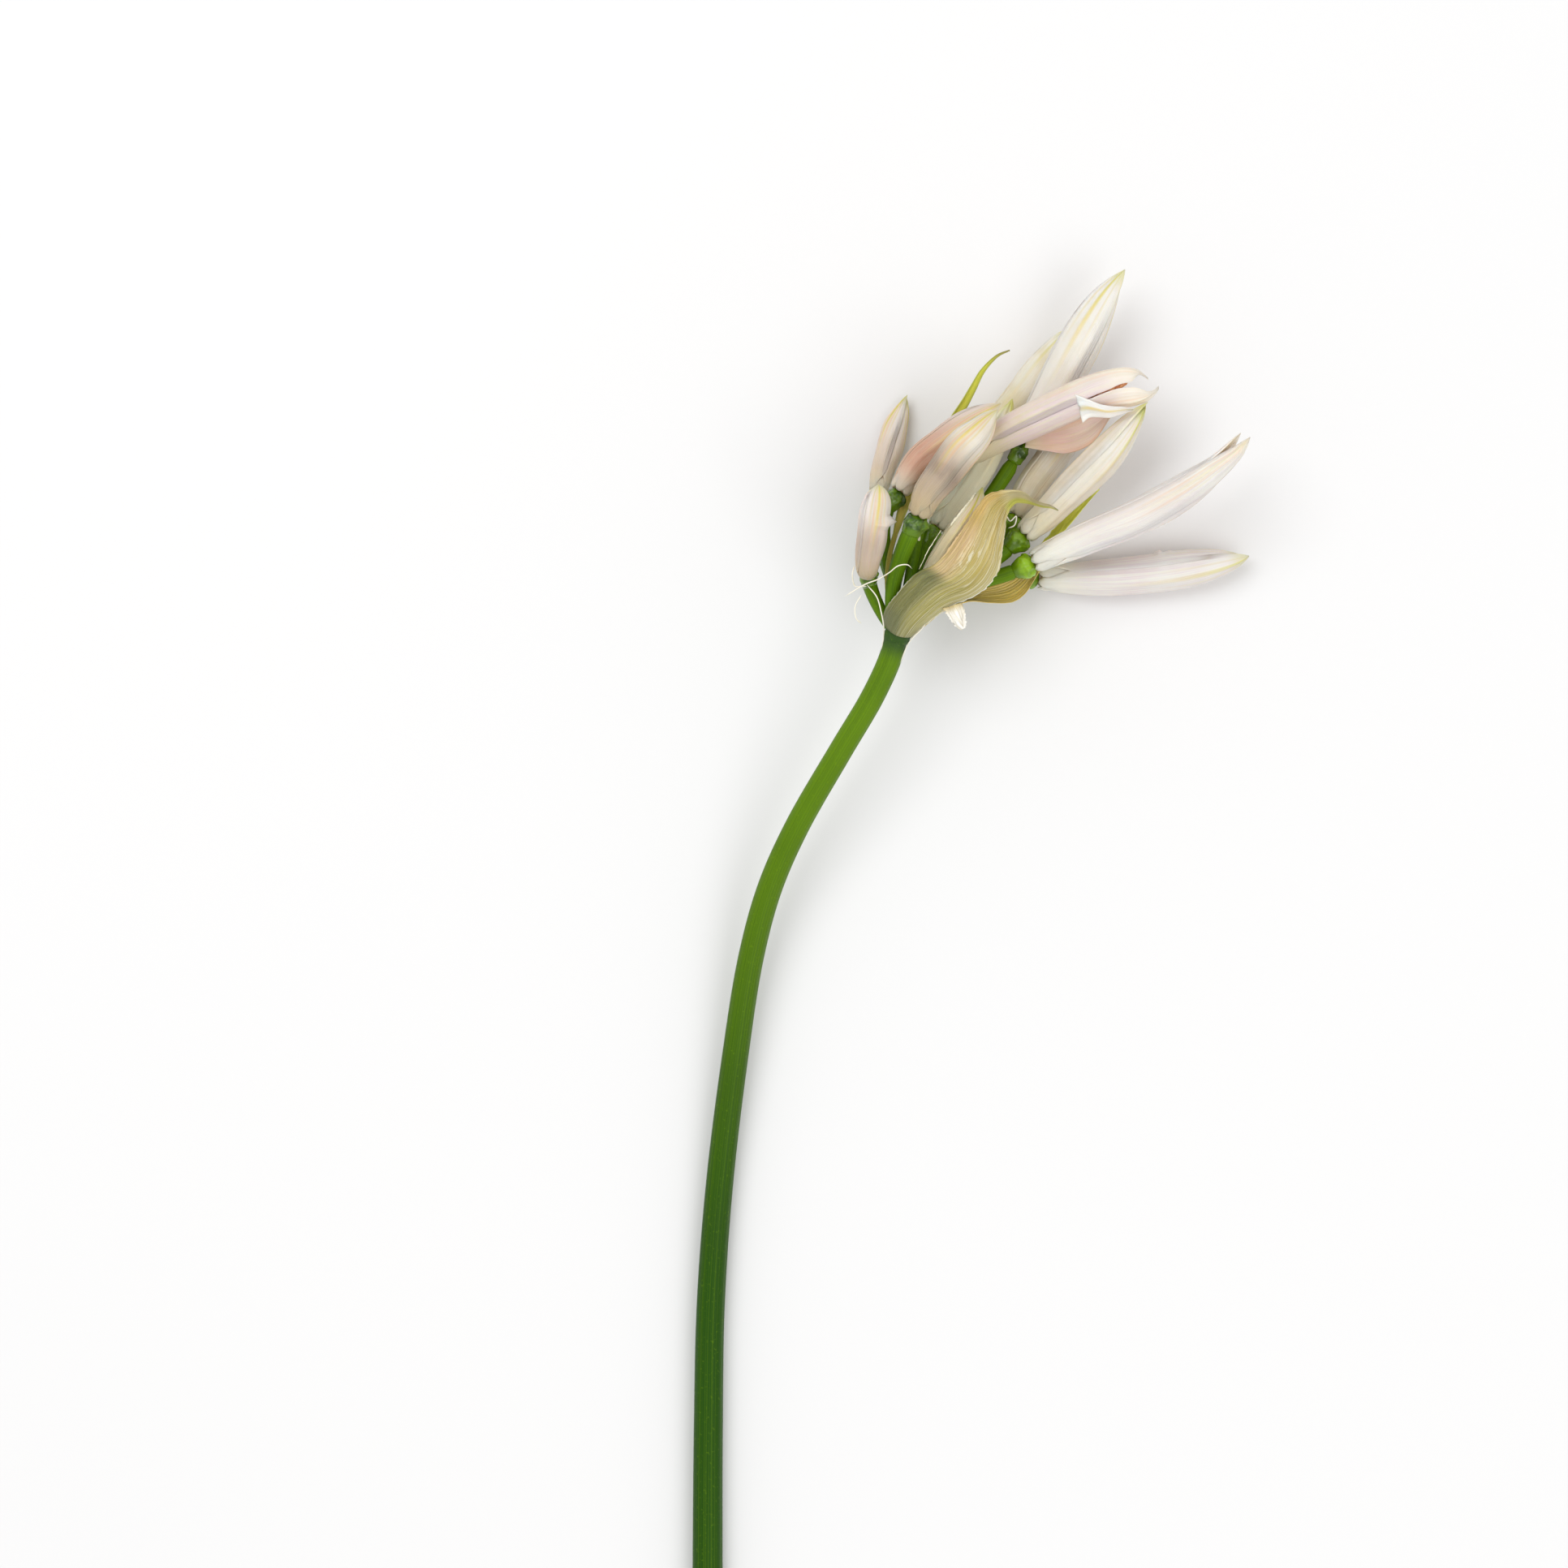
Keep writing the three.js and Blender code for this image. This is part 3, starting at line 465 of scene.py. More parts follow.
class Socket:
    """A shader value: what is worked out with it adds Math nodes."""

    def __init__(self, paint, output):
        self.paint = paint
        self.output = output

    def math(self, operation, *values, clamp=False):
        return self.paint.node(
            "ShaderNodeMath", {"operation": operation, "use_clamp": clamp}, dict(enumerate(values)))

    def __add__(self, other):
        return self.math("ADD", self, other)

    __radd__ = __add__

    def __mul__(self, other):
        return self.math("MULTIPLY", self, other)

    __rmul__ = __mul__

    def __sub__(self, other):
        return self.math("SUBTRACT", self, other)

    def __rsub__(self, other):
        return self.math("SUBTRACT", other, self)

    def __abs__(self):
        return self.math("ABSOLUTE", self)

    def clamped(self):
        return self.math("ADD", self, 0.0, clamp=True)

    def fade(self, start, end):
        """0 at start and 1 at end, with a soft way between."""
        return self.paint.node(
            "ShaderNodeMapRange", {"interpolation_type": "SMOOTHSTEP"},
            {"Value": self, "From Min": start, "From Max": end, "To Min": 0.0, "To Max": 1.0})

    def band(self, middle, width):
        """1 at middle, falling to 0 at a distance of width."""
        return abs(self - middle).fade(width, 0.0)


class Paint:
    """A material under construction: a tone, and colours laid over it one after the other."""

    def __init__(self, name, tone):
        self.material = bpy.data.materials.new(name)
        self.material.use_nodes = True
        self.tree = self.material.node_tree
        self.shader = self.tree.nodes["Principled BSDF"]
        self.tone = tone

    def node(self, kind, settings=None, inputs=None, output=0):
        """Adds a node, sets it up, and gives its sockets their values or links."""
        made = self.tree.nodes.new(kind)
        for key, value in (settings or {}).items():
            setattr(made, key, value)
        for key, value in (inputs or {}).items():
            self.feed(made.inputs[key], value)
        return Socket(self, made.outputs[output])

    def feed(self, target, value):
        if isinstance(value, Socket):
            self.tree.links.new(value.output, target)
        elif target.type == "RGBA":
            target.default_value = (*value, 1.0)
        else:
            target.default_value = value

    def cover(self, factor, colour):
        """Lays a colour over the tone, as strongly as factor says."""
        layers = {MIX_FACTOR: factor, MIX_UNDER: self.tone, MIX_OVER: colour}
        self.tone = self.node("ShaderNodeMix", {"data_type": "RGBA"}, layers, MIX_RESULT)

    def marks(self, attribute):
        """The three numbers that a mesh keeps for each of its points."""
        split = {"Vector": self.node("ShaderNodeAttribute", {"attribute_name": attribute}, output="Vector")}
        return tuple(self.node("ShaderNodeSeparateXYZ", None, split, axis) for axis in "XYZ")

    def place(self):
        return self.node("ShaderNodeTexCoord", output="Object")

    def vector(self, x, y, z):
        return self.node("ShaderNodeCombineXYZ", None, {"X": x, "Y": y, "Z": z})

    def noise(self, vector, scale, detail=2.0, roughness=0.5, distortion=0.0):
        return self.node("ShaderNodeTexNoise", None, {
            "Vector": vector, "Scale": scale, "Detail": detail, "Roughness": roughness,
            "Distortion": distortion})

    def finish(self, roughness, height, rise, sheen="plain"):
        """Feeds the shader. The bumps of height stand up by rise, in metres."""
        normal = self.node("ShaderNodeBump", None, {"Height": height, "Distance": rise, "Strength": 1.0})
        for name, value in (("Base Color", self.tone), ("Roughness", roughness), ("Normal", normal)):
            self.feed(self.shader.inputs[name], value)
        for name, value in SHEENS[sheen].items():
            self.shader.inputs[name].default_value = value
        return self.material


def green_skin_paint(settings):
    """Glossy green skin of the scape and pedicels: fine lines, yellower upwards, painted shade at the collar.
    """
    paint = Paint("green_skin", settings.green)
    around_x, around_y, along = paint.marks("skin")
    place = paint.place()
    lines = paint.noise(paint.vector(around_x * 8.0, around_y * 8.0, along * 0.8), 1.7, 3.0, 0.6)
    cloud = paint.noise(place, 34.0, 3.0)
    grain = paint.noise(place, 1500.0)
    paint.cover(along.fade(0.5, 0.95), settings.young_green)
    paint.cover(lines.fade(0.4, 0.75) * 0.15, settings.bright_green)
    paint.cover(lines.fade(0.5, 0.25) * 0.4, settings.deep_green)
    paint.cover(cloud.fade(0.45, 0.8) * 0.3, settings.deep_green)
    # Painted shade: the collar under the valve's foot is darkened to dull green
    paint.cover(along.fade(0.98, 0.996), settings.collar_shade_green)
    paint.cover(along.fade(*CUT_RIM), settings.cut_face)
    paint.cover(grain.fade(0.6, 0.75) * 0.15, settings.bright_green)
    return paint.finish(lines * 0.14 + 0.3, lines * 0.8 + grain * 0.12, 0.00016, "skin")


def ovary_paint(settings):
    """Glassy green ovaries, with painted highlights on the knobs, lime at the rim, and at the foot as the
    pedicel.
    """
    paint = Paint("ovary_green", settings.deep_green)
    light, bump, along = paint.marks("skin")
    place = paint.place()
    cloud = paint.noise(place, 420.0)
    grain = paint.noise(place, 2200.0, 3.0)
    # Painted light and shade: ovary_painted_light lifts the deep green towards bright green, low values leave
    # painted shade
    paint.cover((cloud.fade(0.3, 0.7) * 0.4 + light * 0.75).clamped(), settings.bright_green)
    # Painted highlight: raised knobs are painted lighter, as strongly as the ovary's painted light
    paint.cover(bump.fade(0.3, 1.0) * 0.35 * light, settings.knob_highlight_green)
    paint.cover(along.fade(0.9, 0.99) * 0.5, settings.rim_green)
    paint.cover(along.fade(0.5, 0.16), settings.young_green)
    return paint.finish(cloud * 0.12 + 0.18, grain * 0.5 + cloud, 0.0002, "ovary")


def petal_paint(name, look, settings):
    """Satin tepal: cream foot, warm white body, coloured ribs, edges and tip, and fine lengthwise veins."""
    paint = Paint(name, settings.body)
    across, along, mark = paint.marks("leaf")
    place = paint.place()
    side = abs(across)
    veins = paint.noise(paint.vector(across * 9.0, along * 0.8, mark * 7.0), 2.2, 3.0, 0.65)
    fine = paint.noise(paint.vector(across * 30.0, along * 2.4, mark * 3.0), 2.0, 2.0, 0.6)
    cloud = paint.noise(place, 60.0)
    patch = paint.noise(place, 130.0, 3.0)

    def tint(key):
        return look.get(key, 0.0)

    paint.cover(along.fade(0.32, 0.0) * 0.9, settings.foot)
    # Cream beige, stronger towards the foot: partly the tepals' own beige, partly painted shade
    beige = along.fade(0.75, 0.15) * 0.35 + patch.fade(0.4, 0.7) * 0.3 + 0.25
    paint.cover(beige * tint("cream"), settings.cream)
    paint.cover(tint("pale") * 0.8, settings.pale)
    paint.cover((along.fade(0.8, 0.15) * 0.8 + 0.1) * tint("shade"), settings.shade)
    streaks = (cloud * 0.4 + veins * 0.6).fade(0.38, 0.6)
    paint.cover(streaks * along.fade(0.06, 0.3) * tint("blush"), settings.blush)
    glow = (cloud * 0.3 + veins * 0.3 + along.fade(0.9, 0.25) * 0.6).clamped()
    paint.cover(glow * (along.fade(0.0, 0.25) * 0.7 + 0.3) * tint("salmon"), settings.salmon)
    shadow = (patch.fade(0.65, 0.35) * 0.35 + 0.6) * along.band(0.4, 0.3)
    paint.cover(shadow * tint("dusk"), settings.dusk)
    # Painted shade: golden brown in the creases to either side of the midrib
    paint.cover(veins.fade(0.45, 0.3) * side.band(0.55, 0.4) * tint("crease_shade"), settings.crease_shade)
    paint.cover(tint("white") * 0.9, settings.white)
    end = along.fade(0.7, 0.9) * (veins.fade(0.3, 0.6) * 0.4 + 0.6)
    paint.cover(end * tint("pale_tip"), settings.foot)
    paint.cover(veins.fade(0.6, 0.35) * 0.16, settings.cream)
    paint.cover(fine.fade(0.55, 0.75) * 0.15, settings.white)

    rib_from = look.get("rib_from", RIB_FROM)
    rib = side.fade(look.get("rib_width", RIB_WIDTH), 0.02) * along.fade(rib_from, rib_from + RIB_FADE)
    beside = side.band(0.4, 0.1) * along.fade(0.45, 0.85) * 0.6
    paint.cover((rib + beside).clamped() * veins.fade(0.15, 0.5) * tint("gold"), settings.gold)
    stripe = side.band(0.2, 0.12) * along.fade(0.3, 0.7) * veins.fade(0.2, 0.5)
    paint.cover(stripe * tint("peach") * 0.85, settings.peach)
    edge = side.fade(0.8, 0.98) * along.fade(0.6, 0.95)
    paint.cover(edge * tint("lime") * 0.35, settings.lime)
    paint.cover(side.fade(0.6, 0.95) * along.fade(0.3, 0.7) * tint("rim"), settings.peach)
    paint.cover(rib * along.fade(0.6, 0.95) * tint("lime") * 0.8, settings.lime)
    paint.cover(along.fade(0.88, 1.0) * (tint("lime") * 0.85 + 0.1), settings.lime)

    height = veins * 0.7 + fine * 0.25 + rib * 0.4
    sparkle = paint.noise(place, 2600.0)
    return paint.finish(sparkle * 0.2 + 0.32, height + sparkle * 0.08, 0.00018, "petal")


def front_valve_paint(settings):
    """Dry papery valve: gold with curving veins, orange beside the bud it holds, a wet grey-green foot."""
    paint = Paint("spathe_front_paper", settings.gold)
    across, along, mark = paint.marks("leaf")
    place = paint.place()
    wander = paint.noise(paint.vector(across * 2.0, along * 3.0, mark), 1.4) - 0.5
    lane = across + wander * 0.3
    veins = paint.noise(paint.vector(lane * 17.0, along * 0.5, mark), 2.2, 1.0, 0.4)
    fine = paint.noise(paint.vector(lane * 48.0, along * 1.6, mark), 2.0, 2.0, 0.6)
    cloud = paint.noise(place, 110.0, 3.0)
    crumple = paint.noise(paint.vector(across * 4.0, along * 12.0, mark), 1.6, 3.0, 0.6, 0.8)

    paint.cover(cloud.fade(0.3, 0.7) * 0.25, settings.paper)
    paint.cover(along.fade(0.62, 0.15) * 0.75, settings.olive)
    paint.cover(across.fade(0.5, 0.95) * along.fade(0.25, 0.5) * 0.3, settings.olive)
    beside = across.fade(-0.2, -0.75) * along.fade(0.3, 0.5) * along.fade(0.85, 0.7)
    paint.cover(beside * (cloud.fade(0.25, 0.6) * 0.5 + 0.45), settings.peach)
    through = across.fade(0.1, -0.6) * along.fade(0.24, 0.34) * along.fade(0.62, 0.5)
    paint.cover(through * 0.7, settings.through)
    foot = along.fade(0.34, 0.27) * across.fade(0.3, -0.3)
    paint.cover((foot * 0.75 + along.fade(0.12, 0.0) * 0.5).clamped(), settings.sage)
    paint.cover(along.band(0.28, 0.06) * across.fade(-0.1, -0.7) * 0.8, settings.sage)
    clear = (1.0 - foot * 0.6) * (across.fade(-0.2, 0.6) * 0.9 + 0.7)
    paint.cover(veins.fade(0.48, 0.66) * clear * 0.34, settings.paper)
    paint.cover(fine.fade(0.5, 0.7) * clear * 0.16, settings.paper)
    paint.cover(veins.fade(0.45, 0.28) * 0.35, settings.olive)
    paint.cover(fine.fade(0.45, 0.3) * 0.2, settings.sage)
    # Painted highlight: paper white laid on the crumples' crests, where the bump also rises
    crease = crumple.fade(0.54, 0.6) * along.band(0.46, 0.16) * across.band(-0.15, 0.5)
    paint.cover(crease * 0.8, settings.paper)
    right_fringe = across.fade(0.94, 0.99) * along.fade(0.5, 0.4)
    left_fringe = across.fade(-0.94, -0.99) * along.band(0.16, 0.12)
    paint.cover((right_fringe + left_fringe).clamped() * 0.9, settings.fringe)
    curl = along.fade(0.72, 0.78)
    paint.cover(curl * 0.7, settings.curl)
    paint.cover(curl * across.fade(-0.1, 0.5) * 0.85, settings.fresh)
    paint.cover(along.fade(0.96, 1.0) * 0.7, settings.olive)
    return paint.finish(cloud * 0.2 + 0.34, veins * 0.8 + fine * 0.3 + crumple * 0.5, 0.0004, "paper")


def rear_valve_paint(settings):
    """Dry golden valve with close raised ribs, browner along its lower edge, its narrow tip fresh green."""
    paint = Paint("spathe_rear_paper", settings.rear_gold)
    across, along, mark = paint.marks("leaf")
    ribs = paint.noise(paint.vector(across * 16.0, along * 1.2, mark), 2.2, 1.0, 0.4)
    fine = paint.noise(paint.vector(across * 40.0, along * 3.0, mark), 2.0, 2.0, 0.6)
    cloud = paint.noise(paint.place(), 120.0, 3.0)
    paint.cover(ribs.fade(0.4, 0.65) * 0.35, settings.paper)
    paint.cover(ribs.fade(0.46, 0.3) * 0.3, settings.rear_brown)
    paint.cover(across.fade(0.6, 1.0) * cloud.fade(0.3, 0.6) * 0.3, settings.rear_edge)
    tip = along.fade(0.58, 0.68)
    paint.cover(tip, settings.rear_tip)
    height = (ribs + fine * 0.3) * (1.0 - tip * 0.8)
    return paint.finish(cloud * 0.2 + 0.34, height, 0.0004, "paper")


def strip_paint(settings):
    """Long bracteole: golden olive low down, fresh green above, with darker edges and a brown tip."""
    paint = Paint("bracteole_olive", settings.strip)
    across, along, mark = paint.marks("leaf")
    veins = paint.noise(paint.vector(across * 6.0, along * 1.5, mark), 2.0)
    grain = paint.noise(paint.place(), 900.0)
    paint.cover(along.fade(0.62, 0.74), settings.fresh)
    paint.cover(veins.fade(0.35, 0.6) * 0.25, settings.olive)
    paint.cover(abs(across).fade(0.4, 1.0) * 0.7, settings.strip_edge)
    paint.cover(along.fade(0.9, 1.0) * 0.8, settings.strip_tip)
    return paint.finish(grain * 0.2 + 0.3, veins + grain * 0.2, 0.0002, "strip")


def flap_paint(settings):
    """Torn white end of the valve with lengthwise ribs, gold where it starts."""
    paint = Paint("spathe_flap_white", settings.flap)
    across, along, mark = paint.marks("leaf")
    ribs = paint.noise(paint.vector(across * 4.0, along * 0.6, mark), 2.2, 1.0)
    paint.cover(ribs.fade(0.5, 0.35) * 0.5, settings.flap_shade)
    paint.cover(along.fade(0.3, 0.0) * 0.8, settings.gold)
    return paint.finish(ribs * 0.2 + 0.4, ribs, 0.0004)


def thread_paint(name, colour, fleck):
    """Dry pale thread or skin with darker flecks."""
    paint = Paint(name, colour)
    flecks = paint.noise(paint.place(), 500.0)
    paint.cover(flecks.fade(0.5, 0.8) * 0.5, fleck)
    return paint.finish(flecks * 0.2 + 0.4, flecks, 0.0001)


def inside_paint(settings):
    """Orange shade inside the opening bud."""
    paint = Paint("shaded_anther_orange", settings.peach)
    grain = paint.noise(paint.place(), 1200.0)
    # Painted shade: the dark orange of the bud's inside
    paint.cover(grain.fade(0.35, 0.7), settings.inside)
    return paint.finish(grain * 0.2 + 0.5, grain, 0.0001)


def floor_paint(colour):
    """Matt pale table top with the faintest mottling."""
    paint = Paint("pale_table", colour)
    mottle = paint.noise(paint.place(), 3.0)
    paint.cover(mottle, [FLOOR_MOTTLE * channel for channel in colour])
    return paint.finish(mottle * 0.05 + 0.85, mottle, 0.0001)


class Route:
    """A smooth line through a few points, followed by its share of the length."""

    STEPS = 24
    LOOK = 0.01

    def __init__(self, points):
        marks = [Vector(point) for point in points]
        marks = [marks[0] * 2 - marks[1], *marks, marks[-1] * 2 - marks[-2]]
        self.places = []
        for section in zip(marks, marks[1:], marks[2:], marks[3:]):
            self.places += [centripetal(*section, step / self.STEPS) for step in range(self.STEPS)]
        self.places.append(marks[-2])
        self.lengths = [0.0]
        for before, after in zip(self.places, self.places[1:]):
            self.lengths.append(self.lengths[-1] + (after - before).length)

    def at(self, share):
        target = min(max(share, 0.0), 1.0) * self.lengths[-1]
        low, high = 0, len(self.lengths) - 1
        while high - low > 1:
            middle = (low + high) // 2
            if self.lengths[middle] <= target:
                low = middle
            else:
                high = middle
        part = (target - self.lengths[low]) / (self.lengths[high] - self.lengths[low])
        return self.places[low].lerp(self.places[high], part)

    def cross(self, share):
        """The point at share, with the directions sideways and up."""
        heading = (self.at(share + self.LOOK) - self.at(share - self.LOOK)).normalized()
        return self.at(share), *square_to(heading)


def centripetal(before, start, end, after, share):
    """A point between start and end on a centripetal spline."""
    gap_before = max((start - before).length, 1e-6) ** 0.5
    gap = max((end - start).length, 1e-6) ** 0.5
    gap_after = max((after - end).length, 1e-6) ** 0.5
    leave = (start - before) / gap_before - (end - before) / (gap_before + gap) + (end - start) / gap
    arrive = (end - start) / gap - (after - start) / (gap + gap_after) + (after - end) / gap_after
    leave, arrive = leave * gap, arrive * gap
    curve = (start - end) * 2 + leave + arrive
    bow = (end - start) * 3 - leave * 2 - arrive
    return start + share * (leave + share * (bow + share * curve))


def square_to(heading):
    """The directions sideways and up from a heading."""
    side = heading.cross(UP).normalized()
    return side, side.cross(heading)


def on_ring(centre, side, up, radius, angle):
    """The point at an angle on a ring round centre."""
    return centre + side * (radius * math.cos(angle)) + up * (radius * math.sin(angle))


def umbel(points):
    """Places measured in millimetres from the umbel base, in metres in the frame."""
    base = Vector(UMBEL_BASE)
    return [(Vector(point) + base) * MM for point in points]


def soft_step(value, start, end):
    """0 up to start and 1 from end, with a soft way between."""
    share = min(max((value - start) / (end - start), 0.0), 1.0)
    return share * share * (3 - 2 * share)


def lerp(first, second, share):
    return first + (second - first) * share


def in_steps(value, table):
    """What a table of (place, value) pairs gives, in straight lines between them."""
    for (start, first), (end, last) in zip(table, table[1:]):
        if value <= end:
            break
    return lerp(first, last, min(1.0, (value - start) / (end - start)))


def bell(value, middle, spread):
    """1 at middle, falling softly to either side."""
    return math.exp(-(((value - middle) / spread) ** 2))


def tent(value, middle, spread):
    """1 at middle, falling straight to 0 at a distance of spread."""
    return max(0.0, 1 - abs(value - middle) / spread)


def wrinkle(u, v, across, along, seed):
    """Smooth noise over a surface, finer with larger numbers across and along."""
    return noise.noise(Vector((u * across, v * along, seed)))


def new_mesh(layer):
    """An empty mesh that keeps three numbers for each of its points."""
    bm = bmesh.new()
    bm.verts.layers.float_vector.new(layer)
    return bm


def lay_sheet(bm, grid, place, mark, material=0):
    """Adds a grid of faces put in place by place(u, v), u from -1 to 1 and v from 0 to 1."""
    leaf = bm.verts.layers.float_vector["leaf"]
    before = len(bm.faces)
    made = bmesh.ops.create_grid(bm, x_segments=grid[0], y_segments=grid[1], size=1.0)
    for vert in made["verts"]:
        u, v = vert.co.x, (vert.co.y + 1) / 2
        vert[leaf] = (u, v, mark)
        vert.co = place(u, v)
    bm.faces.ensure_lookup_table()
    for face in bm.faces[before:]:
        face.material_index = material


def round_marks(angle, v):
    """Where a point is round a tube and along it."""
    return math.cos(angle), math.sin(angle), v


def roll_tube(bm, grid, place, marks=round_marks):
    """Adds a grid rolled into a closed skin. place(angle, v) gives its points; seam and poles are merged."""
    skin = bm.verts.layers.float_vector["skin"]
    made = bmesh.ops.create_grid(bm, x_segments=grid[0], y_segments=grid[1], size=1.0)
    for vert in made["verts"]:
        angle, v = -math.pi * vert.co.x, (vert.co.y + 1) / 2
        vert[skin] = marks(angle, v)
        vert.co = place(angle, v)
    bmesh.ops.remove_doubles(bm, verts=made["verts"], dist=MERGE_DISTANCE)


def add_object(name, data):
    made = bpy.data.objects.new(name, data)
    bpy.context.scene.collection.objects.link(made)
    return made


def finish_piece(bm, name, materials, thickness=0.0):
    """Makes the object, smooth and, where it is a sheet, with its thickness on the inner side."""
    for face in bm.faces:
        face.smooth = True
    mesh = bpy.data.meshes.new(name)
    bm.to_mesh(mesh)
    bm.free()
    piece = add_object(name, mesh)
    for material in materials:
        mesh.materials.append(material)
    if thickness:
        wall = piece.modifiers.new("Thickness", "SOLIDIFY")
        wall.thickness = thickness
        wall.offset = -1.0
        wall.thickness_clamp = WALL_CLAMP
    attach(piece, "root")
    return piece


def bud_radius(bud, share):
    """The closed bud's radius in millimetres: swelling from its foot, then closing to the tip."""
    swell = FOOT_SHARE + (1 - FOOT_SHARE) * math.sin(math.pi / 2 * min(share / WIDEST_AT, 1))
    beyond = min(max(0.0, (share - WIDEST_AT) / (1 - WIDEST_AT)), 1.0)
    return bud["width"] / 2 * swell * (1 - beyond ** bud.get("tip_power", TIP_POWER)) ** TAPER_POWER


def tepal_place(bud, route, number, seed, settings):
    """Where the points of one tepal lie. Tepals 0 to 2 are the outer ones, 3 to 5 the inner."""
    inner = number >= 3
    middle = bud["turn"] + 120 * (number % 3) + (0 if inner else 60)
    reach = 1 - bud.get("lags", TIP_LAGS)[number]
    splay = Vector(bud.get("splay", {}).get(number, (0, 0, 0))) * MM
    gape = bud.get("gape", {}).get(number, ())
    sag_at, sag_spread, sag, sag_side = bud.get("sag", {}).get(number, (1, 1, (0, 0, 0), 0))
    sag = Vector(sag) * MM
    step = settings.overlap * bud.get("overlap", 1)
    crease = settings.crease * bud.get("crease", 1)

    def place(u, v):
        opened = soft_step(v, 0.02, 0.2)
        half = lerp(FOOT_HALF, INNER_HALF if inner else OUTER_HALF, opened)
        half *= 1 - bud.get("pointed", 0) * soft_step(v, 0.9, 1)
        share = v * reach + SCALLOP * u * u * max(0.0, 1 - v / SCALLOP_END)
        turned = middle - u * half
        for start, end, near, far in gape:
            turned += soft_step(share, start, end) * (near * ((1 + u) / 2) ** 2 - far * ((1 - u) / 2) ** 2)
        angle = math.radians(turned)
        radius = bud_radius(bud, lerp(share, v, soft_step(v, 0.5, 0.9))) * MM
        slim = min(1.0, radius / (SLIM_RADIUS * MM))
        if inner:
            radius -= INNER_DEPTH * MM * opened * slim
        else:
            radius += step * u * half / 120 * opened * slim
        ribs = bell(u, 0, 0.14) - 0.5 * bell(abs(u), 0.36, 0.12)
        radius *= 1 + settings.keel * ribs * soft_step(v, 0.1, 0.7)
        radius *= 1 - FOOT_PINCH * max(0.0, 1 - v / 0.03) ** 2
        around = Vector((math.cos(angle), math.sin(angle), 0))
        waves = noise.noise(around * 0.8 + Vector((seed * 3.1, 0, share * 3.6)))
        ripple = noise.noise(around * 2.4 + Vector((0, seed * 1.7, share * 2.2)))
        radius += crease * (waves + ripple * 0.7) * soft_step(v, 0.03, 0.2) * slim
        if not inner:
            for (at, towards), (length, breadth), height in bud.get("folds", ()):
                apart = (turned - towards + 180) % 360 - 180
                radius += height * MM * tent(share, at, length) * bell(apart, 0, breadth)
        point = on_ring(*route.cross(share), max(radius, TIP_RADIUS * MM), angle)
        bulge = bell(v, sag_at, sag_spread) * (1 + sag_side * u) / 2
        return point + splay * soft_step(v, 0.8, 1.02) + sag * bulge

    return place


def add_tepals(bm, bud, seed, settings):
    route = Route(umbel(bud["axis"]))
    for number in range(6):
        lay_sheet(bm, GRIDS["tepal"], tepal_place(bud, route, number, seed, settings), seed + number * 0.37)


def arched_place(edges, rise):
    """A surface between a left and a right edge, arched by rise(u, v)."""
    left_edge, right_edge = Route(umbel(edges["left"])), Route(umbel(edges["right"]))

    def place(u, v):
        return left_edge.at(v).lerp(right_edge.at(v), (u + 1) / 2) + UP * rise(u, v)

    return place


def foot_of(bud):
    """The foot of a bud, and the way it points."""
    route = Route(umbel(bud["axis"]))
    start = route.at(0.0)
    return start, (route.at(0.02) - start).normalized()


def add_ovary(bm, bud, settings):
    """A pear of three lobes with knobs under the rim, which carries the bud's scalloped foot."""
    foot, heading = foot_of(bud)
    top = foot + heading * OVARY_TOP * MM
    side, up = square_to(heading)
    length = (OVARY_LENGTH + SEAT_GAP + OVARY_TOP) * MM
    radius = bud["ovary"] * MM if "ovary" in bud else settings.ovary_radius
    # How light the ovary is painted: painted light and shade
    light = bud.get("ovary_painted_light", OVARY_PAINTED_LIGHT)
    neck = settings.pedicel_radius * bud.get("stalk", 1) * NECK_SHARE
    seed = Vector(bud["lead"]) * 7

    def knobs_at(angle, v):
        place = Vector((math.cos(angle), math.sin(angle), 0)) * 1.9 + seed + Vector((0, 0, v * 3.2))
        return (noise.noise(place) + 0.7 * noise.noise(place * 2.1)) * soft_step(v, 0.2, 0.6)

    def place(angle, v):
        pear = lerp(neck, radius, soft_step(v, 0.0, 0.58))
        dome = math.sqrt(max(0.0, 1 - (max(0.0, v - 0.6) / 0.4) ** 2)) * min(1.0, v / 0.12) ** 0.3
        bulges = 0.09 * math.cos(3 * angle) + 0.05 * math.cos(6 * angle + 0.6)
        lobes = 1 + lerp(0.05 * math.cos(3 * angle), bulges, soft_step(v, 0.2, 0.5))
        reach = pear * dome * lobes + KNOB_HEIGHT * MM * knobs_at(angle, v) * dome
        return on_ring(top + heading * (length * (v - 1)), side, up, reach, angle)

    roll_tube(bm, GRIDS["ovary"], place, lambda angle, v: (light, knobs_at(angle, v) * 2, v))


